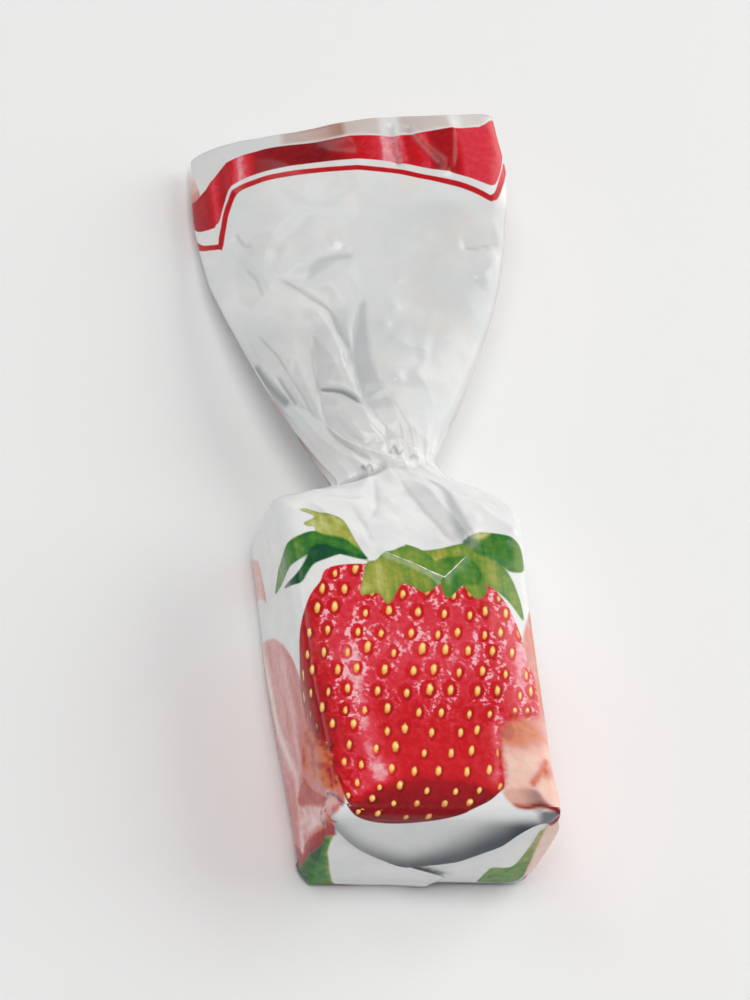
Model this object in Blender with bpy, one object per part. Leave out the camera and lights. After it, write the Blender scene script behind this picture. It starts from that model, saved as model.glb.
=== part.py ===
"""A jelly sweet in a twist wrap, lying on its back.

One solid: the block of sweet shut in its film, the folded bottom end, the pleated neck and the open
fan of film above it.  X runs across the sweet, Y from the folded end to the fan, +Z out of the face
with the fruit.  The origin is under the middle of the whole length, on the surface it lies on.
"""

import math

import bmesh
import bpy
import numpy as np

# Driving dimensions.  Lengths are metres, angles radians.
MM = 0.001
BODY_WIDTH = 25.4 * MM
BODY_HEIGHT = 15.3 * MM
BODY_SQUARENESS = 13.0
FACE_FLATTENING = 1.002
END_RADIUS = 1.3 * MM
END_BULGE = 0.8 * MM
END_SLOPE = 0.8 * MM
LEFT_BULGE = 1.2 * MM
SHOULDER_FRONT_Y = 31.0 * MM
SHOULDER_SIDE_Y = 39.4 * MM
NECK_Y = 45.0 * MM
NECK_HALF_WIDTH = 5.9 * MM
NECK_HALF_HEIGHT = 3.3 * MM
NECK_SLANT = 1.5 * MM
TAIL_END_Y = 87.6 * MM
TAIL_HALF_WIDTH = 17.4 * MM
TAIL_HALF_HEIGHT = 3.6 * MM
TAIL_TURN = math.radians(20.0)
MOUTH_DEPTH = 6.5 * MM
MOUTH_WALL = 0.8 * MM
FLAP_THICKNESS = 0.5 * MM
NECK_TWIST = math.radians(58.0)
PLEATS = 16
PLEAT_DEPTH = 0.9 * MM

# Long folds of the film's face, as (x across, y along) in millimetres, with their height.
FACE_FOLDS = (
    (((-0.7, 66.0), (-0.9, 59.3), (-0.3, 53.0), (1.3, 48.6), (3.8, 46.2)), 1.0),
    (((-9.0, 68.8), (-4.7, 64.6), (-3.6, 61.1)), 0.7),
    (((-7.1, 61.9), (-4.4, 57.5), (-2.8, 52.0)), 0.7),
    (((-12.6, 61.6), (-11.3, 56.2), (-9.0, 51.5)), 0.6),
    (((-6.1, 68.5), (-5.1, 70.3), (-1.1, 70.7)), -0.5),
    (((-3.6, 31.2), (2.8, 28.2), (5.5, 30.8)), 0.4),
    (((2.7, 37.8), (5.1, 33.2)), -0.5),
)
FOLD_REACH = 1.4 * MM

# Mesh fineness.
RING_POINTS = 80
CAP_RINGS = 4
CORNER_RINGS = 3
BODY_RINGS = 6
SHOULDER_START_Y = 26.0 * MM
SHOULDER_RINGS = 15
TAIL_RINGS = 26
MOUTH_RINGS = 3

# Where the part's origin lies in the dimensions above, whose y is 0 at the folded end.
FRAME_Y = 42.94 * MM


def ease(value, start, end):
    """A smooth step: 0 below start, 1 above end."""
    t = np.clip((value - start) / (end - start), 0.0, 1.0)
    return t * t * (3.0 - 2.0 * t)


def fan_place(y):
    """How far along the fan y lies: 0 at the neck, 1 at the mouth."""
    return np.clip((y - NECK_Y) / (TAIL_END_Y - NECK_Y), 0.0, 1.0)


def half_width(y):
    """Half the width at y: the block, its shoulders, then the fan opening as a quarter sine."""
    body = 0.5 * BODY_WIDTH
    shoulder = body + (NECK_HALF_WIDTH - body) * ease(y, SHOULDER_SIDE_Y, NECK_Y - 0.5 * MM)
    opening = np.sin(0.5 * np.pi * fan_place(y) / 0.85)
    return shoulder + (TAIL_HALF_WIDTH - NECK_HALF_WIDTH) * opening


def left_bulge(y):
    """How far the film stands off the block on its left side, most near the shoulder."""
    return LEFT_BULGE * ease(y, 0.0, 26.0 * MM) * (1.0 - ease(y, SHOULDER_SIDE_Y, NECK_Y))


def top_height(y):
    """Height of the face, which slopes to the neck from SHOULDER_FRONT_Y on."""
    drop = BODY_HEIGHT - (0.5 * BODY_HEIGHT + NECK_HALF_HEIGHT)
    return BODY_HEIGHT - drop * ease(y, SHOULDER_FRONT_Y, NECK_Y - 0.5 * MM)


def bottom_height(y):
    """Height of the back, flat to SHOULDER_SIDE_Y and then rising to the neck."""
    return (0.5 * BODY_HEIGHT - NECK_HALF_HEIGHT) * ease(y, SHOULDER_SIDE_Y, NECK_Y - 0.5 * MM)


def half_height(y):
    """Half the thickness at y, with the fan a little fuller than the neck."""
    fan = fan_place(y)
    fullness = ease(fan, 0.0, 0.3) * (1.0 - 0.25 * ease(fan, 0.55, 1.0))
    slab = 0.5 * (top_height(y) - bottom_height(y))
    return slab + (TAIL_HALF_HEIGHT - NECK_HALF_HEIGHT) * fullness


def box_outline():
    """The block's section at half size 1: a squared oval, stepped evenly from the back's middle."""
    angle = np.linspace(-0.5 * np.pi, 1.5 * np.pi, 20001)
    across = np.abs(np.cos(angle)) / (0.5 * BODY_WIDTH)
    up = np.abs(np.sin(angle)) / (0.5 * BODY_HEIGHT)
    radius = (across ** BODY_SQUARENESS + up ** BODY_SQUARENESS) ** (-1.0 / BODY_SQUARENESS)
    x, z = radius * np.cos(angle), radius * np.sin(angle)
    along = np.concatenate([[0.0], np.cumsum(np.hypot(np.diff(x), np.diff(z)))])
    stops = np.arange(RING_POINTS) / RING_POINTS * along[-1]
    return np.interp(stops, along, x) / (0.5 * BODY_WIDTH), np.interp(stops, along, z) / (0.5 * BODY_HEIGHT)


def pleat_relief(turn_share, unit_x, y):
    """Sharp pleats round the film that gather at the neck and reach furthest up the fan's left side."""
    ridge = 1.0 - 2.0 * np.abs(np.sin(np.pi * PLEATS * turn_share))
    uneven = 0.65 + 0.35 * np.sin(6.0 * np.pi * turn_share + 1.3)
    reach = 0.5 - 0.25 * unit_x
    fading = 1.0 - ease(fan_place(y), 0.25 * reach, 1.1 * reach)
    return PLEAT_DEPTH * ease(y, NECK_Y - 5.6 * MM, NECK_Y) * (0.08 + 0.92 * fading) * ridge * uneven


def distance_to_line(x, y, points):
    """Distance from (x, y) to a line through the points."""
    best = np.full(np.shape(x), np.inf)
    for (x0, y0), (x1, y1) in zip(points[:-1], points[1:]):
        dx, dy = (x1 - x0) * MM, (y1 - y0) * MM
        t = np.clip(((x - x0 * MM) * dx + (y - y0 * MM) * dy) / (dx * dx + dy * dy), 0.0, 1.0)
        best = np.minimum(best, np.hypot(x - x0 * MM - t * dx, y - y0 * MM - t * dy))
    return best


def fold_relief(x, y, front):
    """The long folds on the face, each a soft-sided ridge or dent."""
    relief = np.zeros(np.shape(x))
    for points, height in FACE_FOLDS:
        relief += height * MM * np.exp(-distance_to_line(x, y, points) / FOLD_REACH)
    return relief * front


def section(y, inset=0.0):
    """The ring of points round the film at y, its section shrunk by the inset."""
    turn_share = np.arange(RING_POINTS) / RING_POINTS
    box_x, box_z = box_outline()
    twist = NECK_TWIST * ease(y, NECK_Y - 5.0 * MM, NECK_Y + 20.0 * MM)
    angle = 2.0 * np.pi * turn_share - 0.5 * np.pi + twist
    lens = ease(y, SHOULDER_SIDE_Y - 2.0 * MM, NECK_Y)
    unit_x = (1.0 - lens) * box_x + lens * np.cos(angle)
    unit_z = np.clip(FACE_FLATTENING * ((1.0 - lens) * box_z + lens * np.sin(angle)), -1.0, 1.0)
    x = (half_width(y) - inset) * unit_x - left_bulge(y) * np.clip(-unit_x, 0.0, 1.0)
    z = (half_height(y) - inset) * unit_z
    relief = pleat_relief(turn_share, unit_x, y) + fold_relief(x, y, ease(unit_z, 0.0, 0.5))
    length = np.hypot(unit_x, unit_z)
    x = x + 0.6 * relief * unit_x / length
    z = z + relief * unit_z / length
    slanting = ease(y, NECK_Y - 6.0 * MM, NECK_Y) - ease(y, NECK_Y + 4.0 * MM, NECK_Y + 30.0 * MM)
    turn = TAIL_TURN * ease(y, NECK_Y, NECK_Y + 0.8 * (TAIL_END_Y - NECK_Y))
    middle = 0.5 * (top_height(y) + bottom_height(y))
    return np.column_stack([
        x * math.cos(turn) - z * math.sin(turn),
        y + NECK_SLANT * slanting * unit_x - FRAME_Y,
        middle + x * math.sin(turn) + z * math.cos(turn),
    ])


def end_slope(z):
    """How far the folded end leans out towards its back edge."""
    return END_SLOPE * (1.0 - z / BODY_HEIGHT)


def end_rings():
    """The folded end: rings from near its middle out to its rim, then round the corner."""
    rim = section(END_RADIUS, END_RADIUS)
    centre = rim.mean(axis=0)
    rings = []
    for step in range(1, CAP_RINGS + 1):
        share = step / CAP_RINGS
        ring = centre + (rim - centre) * share
        ring[:, 1] = -FRAME_Y - END_BULGE * (1.0 - share * share) - end_slope(ring[:, 2])
        rings.append(ring)
    for step in range(1, CORNER_RINGS + 1):
        angle = 0.5 * math.pi * step / CORNER_RINGS
        ring = section(END_RADIUS, END_RADIUS * (1.0 - math.sin(angle)))
        rounding = END_RADIUS * (1.0 - math.cos(angle)) - end_slope(ring[:, 2]) * math.cos(angle)
        ring[:, 1] = rounding - FRAME_Y
        rings.append(ring)
    return rings


def length_rings():
    """Rings from the folded end's corner to the fan's mouth."""
    body = np.linspace(END_RADIUS, SHOULDER_START_Y, BODY_RINGS + 1)[1:]
    shoulder = np.linspace(SHOULDER_START_Y, NECK_Y, SHOULDER_RINGS + 1)[1:]
    fan = np.linspace(NECK_Y, TAIL_END_Y, TAIL_RINGS + 1)[1:]
    return [section(y) for y in np.concatenate([body, shoulder, fan])]


def mouth_rings():
    """Rings over the lip and down into the fan's shallow mouth."""
    rings = [section(TAIL_END_Y, MOUTH_WALL)]
    for step in range(1, MOUTH_RINGS + 1):
        share = step / MOUTH_RINGS
        closing = MOUTH_WALL + (1.2 * MM) * share * share
        rings.append(section(TAIL_END_Y - MOUTH_DEPTH * share, closing))
    return rings


def skin(rings):
    """One closed mesh through the rings, with a fan of triangles at each end."""
    mesh = bmesh.new()
    loops = [[mesh.verts.new(point) for point in ring] for ring in rings]
    for lower, upper in zip(loops[:-1], loops[1:]):
        for index in range(RING_POINTS):
            after = (index + 1) % RING_POINTS
            mesh.faces.new((lower[index], upper[index], upper[after], lower[after]))
    for loop, flip in ((loops[0], False), (loops[-1], True)):
        middle = mesh.verts.new(sum((vert.co for vert in loop[1:]), loop[0].co.copy()) / RING_POINTS)
        for index in range(RING_POINTS):
            corners = (loop[index], loop[(index + 1) % RING_POINTS], middle)
            mesh.faces.new(corners[::-1] if flip else corners)
    bmesh.ops.triangulate(mesh, faces=mesh.faces[:])
    bmesh.ops.recalc_face_normals(mesh, faces=mesh.faces[:])
    return mesh


def to_object(name, mesh):
    """Put a bmesh into a named object in the scene."""
    data = bpy.data.meshes.new(name)
    mesh.to_mesh(data)
    mesh.free()
    thing = bpy.data.objects.new(name, data)
    bpy.context.collection.objects.link(thing)
    return thing


def end_flap():
    """The front flap of the folded end: a wedge, thin at the face and raised at its V edge."""
    half = 0.5 * BODY_WIDTH - 1.2 * MM
    top = BODY_HEIGHT - 1.2 * MM
    outline = (
        (-half, top), (-half - 0.2 * MM, 13.2 * MM), (-10.8 * MM, 9.8 * MM), (-7.1 * MM, 6.2 * MM),
        (-2.2 * MM, 3.0 * MM), (4.8 * MM, 5.0 * MM), (8.0 * MM, 8.0 * MM), (half, 12.8 * MM), (half, top),
    )
    mesh = bmesh.new()
    outer, inner = [], []
    for x, z in outline:
        share = min(1.0, max(abs(x) / half, abs(2.0 * z - BODY_HEIGHT) / (BODY_HEIGHT - 2.0 * END_RADIUS)))
        raised = END_BULGE * (1.0 - share * share) + FLAP_THICKNESS * min(1.0, (top - z) / (2.0 * MM))
        outer.append(mesh.verts.new((x, -raised - end_slope(z) - 0.02 * MM - FRAME_Y, z)))
        inner.append(mesh.verts.new((x, 2.0 * MM - FRAME_Y, z)))
    mesh.faces.new(outer)
    mesh.faces.new(inner[::-1])
    for index in range(len(outline)):
        after = (index + 1) % len(outline)
        mesh.faces.new((outer[index], inner[index], inner[after], outer[after]))
    bmesh.ops.triangulate(mesh, faces=mesh.faces[:])
    bmesh.ops.recalc_face_normals(mesh, faces=mesh.faces[:])
    return to_object("end_flap_tool", mesh)


def film_material():
    """White glossy wrapping film."""
    material = bpy.data.materials.new("white_film")
    material.use_nodes = True
    shader = material.node_tree.nodes["Principled BSDF"]
    shader.inputs["Base Color"].default_value = (0.82, 0.82, 0.83, 1.0)
    shader.inputs["Roughness"].default_value = 0.3
    shader.inputs["Metallic"].default_value = 0.0
    return material


def wrapped_sweet():
    """The whole wrapped sweet, its end flap joined on."""
    sweet = to_object("wrapped_sweet", skin(end_rings() + length_rings() + mouth_rings()))
    flap = end_flap()
    join = sweet.modifiers.new("end_flap", "BOOLEAN")
    join.operation = "UNION"
    join.object = flap
    bpy.context.view_layer.objects.active = sweet
    bpy.ops.object.modifier_apply(modifier=join.name)
    bpy.data.objects.remove(flap)
    sweet.data.materials.clear()
    sweet.data.materials.append(film_material())
    sweet.data.shade_smooth()
    sweet.data.set_sharp_from_angle(angle=math.radians(40.0))


for thing in list(bpy.data.objects):
    bpy.data.objects.remove(thing)
wrapped_sweet()
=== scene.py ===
"""A jelly sweet in a printed twist wrap, lying on its back: the film's shape, its print and its gloss."""
import math

import bpy
import mathutils
import numpy as np
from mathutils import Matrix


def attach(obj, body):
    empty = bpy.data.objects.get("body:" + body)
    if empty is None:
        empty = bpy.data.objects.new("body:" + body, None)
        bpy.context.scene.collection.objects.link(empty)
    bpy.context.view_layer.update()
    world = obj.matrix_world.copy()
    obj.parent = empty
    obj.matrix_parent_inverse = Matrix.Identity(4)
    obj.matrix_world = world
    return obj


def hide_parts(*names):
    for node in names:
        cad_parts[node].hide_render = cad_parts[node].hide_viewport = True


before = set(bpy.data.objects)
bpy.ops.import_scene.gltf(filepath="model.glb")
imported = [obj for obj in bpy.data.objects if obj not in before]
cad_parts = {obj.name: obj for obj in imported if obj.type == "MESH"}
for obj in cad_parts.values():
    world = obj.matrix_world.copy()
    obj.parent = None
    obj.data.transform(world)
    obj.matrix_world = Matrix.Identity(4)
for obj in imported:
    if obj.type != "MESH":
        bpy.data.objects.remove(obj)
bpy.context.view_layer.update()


# ---------------------------------------------------------------- The table and the studio
# A pale, smooth table top.  The camera stands over the folded end with a long lens.  A large soft
# lamp stands at the right, one hangs overhead, a small one at the left puts a sheen on the fan, and
# a pale room gives the rest of the light.

MM = 0.001
AIM = (0.0, -2.94 * MM, 6.0 * MM)
CAMERA_RIGHT = (0.9634, -0.1078, 0.2458)
CAMERA_UP = (-0.0281, 0.8712, 0.4903)
CAMERA_DISTANCE = 0.70
CLIP_START = 0.01
SENSOR_WIDTH = 36.0
FRAME_HEIGHT = 0.10752
FRAME_OFFSET = (-1.05 * MM, 2.28 * MM)
TABLE_SIZE = 2.4
TABLE_COLOUR = (0.90, 0.90, 0.90, 1.0)
TABLE_ROUGHNESS = 0.6
ROOM_COLOUR = (0.95, 0.97, 1.0, 1.0)
ROOM_FADE = (0.10, 0.60)
ROOM_STRENGTHS = (0.90, 0.16)
LAMP_TOP = (0.0, 1.0, 0.2)
LAMPS = {
    "overhead": {"place": (-0.12, -0.08, 0.78), "size": 0.42, "power": 2.7, "colour": (1.0, 0.99, 0.97)},
    "main": {"place": (0.68, 0.22, 0.42), "size": 0.80, "power": 4.3, "colour": (1.0, 0.985, 0.96)},
    "tail_sheen": {"place": (-0.40, 0.36, 0.68), "size": 0.24, "power": 0.4, "colour": (1.0, 1.0, 1.0)},
}


def unit(vector):
    """The vector at length 1."""
    vector = np.array(vector, dtype=float)
    return vector / np.linalg.norm(vector)


def turned(right, up, place):
    """A matrix that looks against right x up from the place."""
    right = unit(right)
    up = unit(np.array(up) - right * np.dot(up, right))
    matrix = np.identity(4)
    matrix[:3, :3] = np.stack([right, up, np.cross(right, up)], axis=-1)
    matrix[:3, 3] = place
    return mathutils.Matrix(matrix.tolist())


def place_camera():
    """A long lens over the folded end, rolled as the photograph was."""
    lens = bpy.data.cameras.new("studio_camera")
    camera = bpy.data.objects.new("studio_camera", lens)
    bpy.context.collection.objects.link(camera)
    right, up = unit(CAMERA_RIGHT), unit(CAMERA_UP)
    back = np.cross(right, up)
    place = np.array(AIM) + right * FRAME_OFFSET[0] + up * FRAME_OFFSET[1] + back * CAMERA_DISTANCE
    lens.sensor_width = SENSOR_WIDTH
    lens.lens = SENSOR_WIDTH * CAMERA_DISTANCE / FRAME_HEIGHT
    lens.clip_start = CLIP_START
    camera.matrix_world = turned(right, up, place)
    bpy.context.scene.camera = camera


def hang_lamps():
    """Square soft lamps that face the sweet."""
    for name, facts in LAMPS.items():
        data = bpy.data.lights.new(name, "AREA")
        data.size = facts["size"]
        data.energy = facts["power"]
        data.color = facts["colour"]
        lamp = bpy.data.objects.new(name, data)
        bpy.context.collection.objects.link(lamp)
        away = unit(np.array(facts["place"]) - np.array(AIM))
        side = np.cross(LAMP_TOP, away)
        lamp.matrix_world = turned(side, np.cross(away, side), facts["place"])


def lay_table():
    """A flat pale table."""
    half = 0.5 * TABLE_SIZE
    corners = [(-half, -half, 0), (half, -half, 0), (half, half, 0), (-half, half, 0)]
    mesh = bpy.data.meshes.new("table_top")
    mesh.from_pydata(corners, [], [(0, 1, 2, 3)])
    table = bpy.data.objects.new("table_top", mesh)
    bpy.context.collection.objects.link(table)
    paint = bpy.data.materials.new("pale_table")
    paint.use_nodes = True
    shader = paint.node_tree.nodes["Principled BSDF"]
    shader.inputs["Base Color"].default_value = TABLE_COLOUR
    shader.inputs["Roughness"].default_value = TABLE_ROUGHNESS
    mesh.materials.append(paint)


def light_room():
    """A pale room, bright round the table and darker overhead."""
    room = bpy.data.worlds.new("pale_room")
    room.use_nodes = True
    nodes, links = room.node_tree.nodes, room.node_tree.links
    background = nodes["Background"]
    background.inputs["Color"].default_value = ROOM_COLOUR
    where = nodes.new("ShaderNodeTexCoord")
    split = nodes.new("ShaderNodeSeparateXYZ")
    height = nodes.new("ShaderNodeMapRange")
    links.new(where.outputs["Generated"], split.inputs[0])
    links.new(split.outputs[2], height.inputs[0])
    for socket, value in zip(list(height.inputs)[1:5], ROOM_FADE + ROOM_STRENGTHS):
        socket.default_value = value
    links.new(height.outputs[0], background.inputs["Strength"])
    bpy.context.scene.world = room
    bpy.context.scene.view_settings.view_transform = "Standard"


place_camera()
hang_lamps()
lay_table()
light_room()


# ---------------------------------------------------------------- The wrapped film
# One sheet of glossy film rolled into a tube round the block, folded shut at one end and twisted
# at the other, where it opens into a flat fan.  Lengths are millimetres, y is 0 at the folded end,
# x is across the sweet, and s is the way round the film from the middle of its face.

BODY_WIDTH = 25.4
BODY_HEIGHT = 15.3
BODY_SQUARENESS = 13.0
FACE_FLATTENING = 1.002
END_RADIUS = 1.3
END_BULGE = 0.8
END_SLOPE = 0.8
LEFT_BULGE = 1.2
SHOULDER_FRONT_Y = 31.0
SHOULDER_SIDE_Y = 39.4
NECK_Y = 45.0
NECK_HALF_WIDTH = 5.9
NECK_HALF_HEIGHT = 3.3
NECK_SLANT = 1.5
NECK_TWIST = math.radians(40.0)
TAIL_END_Y = 87.6
TAIL_HALF_WIDTH = 17.4
TAIL_HALF_HEIGHT = 3.6
TAIL_TURN = math.radians(20.0)
TAIL_OPEN_SHARE = 0.85
MOUTH_WALL = 0.25
MOUTH_DEPTH = 15.0
FRAME_Y = 42.94
GIRTH = 2.0 * (BODY_WIDTH + BODY_HEIGHT) - 1.2
EDGE_S = 0.5 * BODY_WIDTH - 0.35


def ease(value, start, end):
    """A smooth step: 0 below start, 1 above end."""
    t = np.clip((value - start) / (end - start), 0.0, 1.0)
    return t * t * (3.0 - 2.0 * t)


def fan_place(y):
    """How far along the fan y lies: 0 at the neck, 1 at the mouth."""
    return np.clip((y - NECK_Y) / (TAIL_END_Y - NECK_Y), 0.0, 1.0)


def half_width(y):
    """Half the width at y: the block, its shoulders, then the fan opening as a quarter sine."""
    body = 0.5 * BODY_WIDTH
    shoulder = body + (NECK_HALF_WIDTH - body) * ease(y, SHOULDER_SIDE_Y, NECK_Y - 0.5)
    opening = np.sin(0.5 * np.pi * fan_place(y) / TAIL_OPEN_SHARE)
    return shoulder + (TAIL_HALF_WIDTH - NECK_HALF_WIDTH) * opening


def left_bulge(y):
    """How far the film stands off the block on its left side."""
    return LEFT_BULGE * ease(y, 0.0, 26.0) * (1.0 - ease(y, SHOULDER_SIDE_Y, NECK_Y))


def top_height(y):
    """Height of the face, which slopes to the neck."""
    return BODY_HEIGHT - (0.5 * BODY_HEIGHT - NECK_HALF_HEIGHT) * ease(y, SHOULDER_FRONT_Y, NECK_Y - 0.5)


def bottom_height(y):
    """Height of the back, flat and then rising to the neck."""
    return (0.5 * BODY_HEIGHT - NECK_HALF_HEIGHT) * ease(y, SHOULDER_SIDE_Y, NECK_Y - 0.5)


def half_height(y):
    """Half the thickness at y, with the fan a little fuller than the neck."""
    fan = fan_place(y)
    fullness = ease(fan, 0.0, 0.3) * (1.0 - 0.25 * ease(fan, 0.55, 1.0))
    slab = 0.5 * (top_height(y) - bottom_height(y))
    return slab + (TAIL_HALF_HEIGHT - NECK_HALF_HEIGHT) * fullness


def end_slope(z):
    """How far the folded end leans out towards its back edge."""
    return END_SLOPE * (1.0 - z / BODY_HEIGHT)


def box_outline(turn_share):
    """The block's section at half size 1: a squared oval, stepped by length from the back's middle."""
    angle = np.linspace(-0.5 * np.pi, 1.5 * np.pi, 20001)
    across = np.abs(np.cos(angle)) / (0.5 * BODY_WIDTH)
    up = np.abs(np.sin(angle)) / (0.5 * BODY_HEIGHT)
    radius = (across ** BODY_SQUARENESS + up ** BODY_SQUARENESS) ** (-1.0 / BODY_SQUARENESS)
    x, z = radius * np.cos(angle), radius * np.sin(angle)
    along = np.concatenate([[0.0], np.cumsum(np.hypot(np.diff(x), np.diff(z)))])
    stops = turn_share * along[-1]
    return np.interp(stops, along, x) / (0.5 * BODY_WIDTH), np.interp(stops, along, z) / (0.5 * BODY_HEIGHT)


def nearest_on_line(x, y, points):
    """Distance to a line through the points, which side of it (x, y) lies on, and how far along."""
    best = np.full(np.shape(x), np.inf)
    side = np.ones(np.shape(x))
    place = np.zeros(np.shape(x))
    points = np.array(points, dtype=float)
    steps = np.hypot(*np.diff(points, axis=0).T)
    start = np.concatenate([[0.0], np.cumsum(steps)])
    for index, ((x0, y0), (x1, y1)) in enumerate(zip(points[:-1], points[1:])):
        dx, dy = x1 - x0, y1 - y0
        t = np.clip(((x - x0) * dx + (y - y0) * dy) / (dx * dx + dy * dy), 0.0, 1.0)
        away = np.hypot(x - x0 - t * dx, y - y0 - t * dy)
        closer = away < best
        best = np.where(closer, away, best)
        side = np.where(closer, np.sign((x - x0) * dy - (y - y0) * dx), side)
        place = np.where(closer, (start[index] + t * steps[index]) / start[-1], place)
    return best, side, place


def smooth_line(points, steps=8, closed=False):
    """A Catmull-Rom curve through the points."""
    points = np.array(points, dtype=float)
    if closed:
        padded = np.vstack([points[-1], points, points[0], points[1]])
    else:
        padded = np.vstack([2 * points[0] - points[1], points, 2 * points[-1] - points[-2]])
    t = np.linspace(0.0, 1.0, steps, endpoint=False)[:, None]
    pieces = []
    for a, b, c, d in zip(padded[:-3], padded[1:-2], padded[2:-1], padded[3:]):
        square, cube = 2 * a - 5 * b + 4 * c - d, 3 * b - a - 3 * c + d
        pieces.append(0.5 * (2 * b + (c - a) * t + square * t ** 2 + cube * t ** 3))
    pieces.append(padded[-2][None, :])
    return np.vstack(pieces)


# The film's creases.  On the fan's left half each is a line of (x, y, height), and the film lies in
# flat facets between them, down to no height at the rim.
FAN_CREASES = (
    ((0.2, 64.3, 0.1), (-0.3, 60.3, 0.4), (-0.5, 57.3, 0.5), (0.3, 53.5, 0.5), (1.8, 49.6, 0.4),
     (4.6, 46.6, 0.3)),
    ((-0.7, 64.4, -0.05), (-1.9, 60.5, -0.3), (-2.6, 57.4, -0.38), (-2.1, 52.6, -0.35), (0, 49, -0.3),
     (3.2, 45.6, -0.15)),
    ((-1.9, 64.2, 0.05), (-2.5, 61.6, 0.15), (-2.45, 60, 0.1)),
    ((-8.9, 69.1, -0.1), (-6.9, 67.3, -0.25), (-5.4, 65.6, -0.3), (-4, 64.1, -0.38), (-3.5, 61.6, -0.42),
     (-2.9, 59.2, -0.38), (-3.2, 57.9, -0.25)),
    ((-9.9, 67.6, 0.05), (-7.1, 65.2, 0.15), (-5.2, 63.6, 0.42), (-4.4, 61.4, 0.48), (-3.8, 58.4, 0.42),
     (-3.6, 56.2, 0.3), (-2.9, 53.6, 0.25)),
    ((-6.8, 62.3, 0.12), (-5.2, 59.5, 0.2), (-4.4, 57.4, 0.22), (-4.1, 54.9, 0.28)),
    ((-6.4, 61.8, -0.05), (-6.7, 59, -0.3), (-6.8, 56.6, -0.4), (-6.7, 55.4, -0.42)),
    ((-8.4, 61.3, 0.1), (-8.5, 59, 0.2), (-7.8, 55.4, 0.2), (-7.15, 53, 0.1)),
    ((-6.2, 55.25, 0.1), (-5.6, 54.95, 0.35), (-4.6, 54.55, 0.42), (-3.7, 54, 0.42), (-2.8, 53.2, 0.25)),
    ((-6.6, 54.75, -0.42), (-5.8, 54.4, -0.35), (-4.7, 54, -0.35), (-3.9, 53.55, -0.38),
     (-2.9, 52.7, -0.35), (-2.3, 52.2, -0.2)),
    ((-6.6, 53.2, -0.38), (-6.2, 51, -0.38), (-5.3, 49.8, -0.35), (-4.5, 48.7, -0.32),
     (-2.8, 47.5, -0.25), (-1.4, 47.3, -0.15)),
    ((-4.6, 52.3, 0.05), (-3.5, 50.5, 0.25), (-2.7, 48.8, 0.15)),
    ((-2.4, 51.8, 0.1), (-2.1, 50.7, 0.28), (-1.9, 49.3, 0.3), (-1.3, 48.1, 0.25), (-0.4, 47.1, 0.1)),
    ((-5.6, 49.4, 0.05), (-4.4, 48.1, 0.3), (-2.9, 47, 0.34), (-1.2, 46, 0.3), (0.2, 45, 0.25)),
    ((-10.1, 57.8, -0.1), (-9.1, 56.3, -0.25), (-8.3, 54.3, -0.3), (-7.7, 52.6, -0.3), (-6.7, 51, -0.3),
     (-5.3, 48.7, -0.28), (-3.8, 46.9, -0.25), (-1.9, 45.2, -0.25), (-0.6, 43.9, -0.2)),
    ((-8.4, 52, 0.2), (-6.9, 49.4, 0.3), (-5.2, 47.2, 0.3), (-3.2, 45.2, 0.25), (-1.8, 43.8, 0.1)),
    ((-12.8, 60.3, -0.15), (-11.7, 57.4, -0.4), (-10.6, 55.3, -0.35), (-9.4, 53.6, -0.05)),
    ((-12, 59.2, 0.15), (-11, 57.1, 0.25), (-10, 55, 0.22)),
    ((-10.9, 58.1, -0.1), (-9.9, 55.8, -0.35), (-9, 53.6, -0.3)),
    ((-9.7, 57.8, 0.1), (-9.15, 55.8, 0.2), (-8.6, 53.8, 0.15)),
    ((1, 47.4, 0.25), (2.6, 45.9, 0.25), (4.2, 44.6, 0.1)),
    ((-0.2, 46.2, -0.2), (1.2, 45.2, -0.2), (2.6, 43.8, -0.1)),
    ((-5.4, 68.9, -0.28), (-4, 70.4, -0.35), (-1.5, 70.6, -0.28), (-0.2, 70.4, -0.05)),
    ((-5.8, 70.5, 0), (-4.5, 72, 0.1), (-1.3, 72.2, 0.1)),
    ((-3.8, 67.3, 0.12), (-1.5, 68.4, 0.2)),
    ((-3.8, 77, -0.05), (-7.8, 73.8, -0.2), (-8.9, 71.2, -0.2)),
    ((-5.4, 77.7, 0.05), (-8.7, 74.9, 0.1), (-10, 72.2, 0.08)),
    ((-12.3, 71.3, -0.15), (-11.2, 69.4, -0.3), (-10.8, 67.4, -0.1)),
    ((-11.6, 71.4, 0.08), (-10.4, 69.6, 0.14)),
)
FAN_RIM = (
    (5, 70), (4.6, 64), (4.4, 58), (5.2, 53), (7.2, 49), (8, 45), (6, 42.5), (0, 42), (-6, 42.5),
    (-9.5, 46), (-12.6, 52), (-14.6, 58), (-15.5, 64), (-16, 70), (-15, 75), (-12, 78), (-6, 80.5),
    (0.5, 79), (3.4, 75),
)
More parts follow.
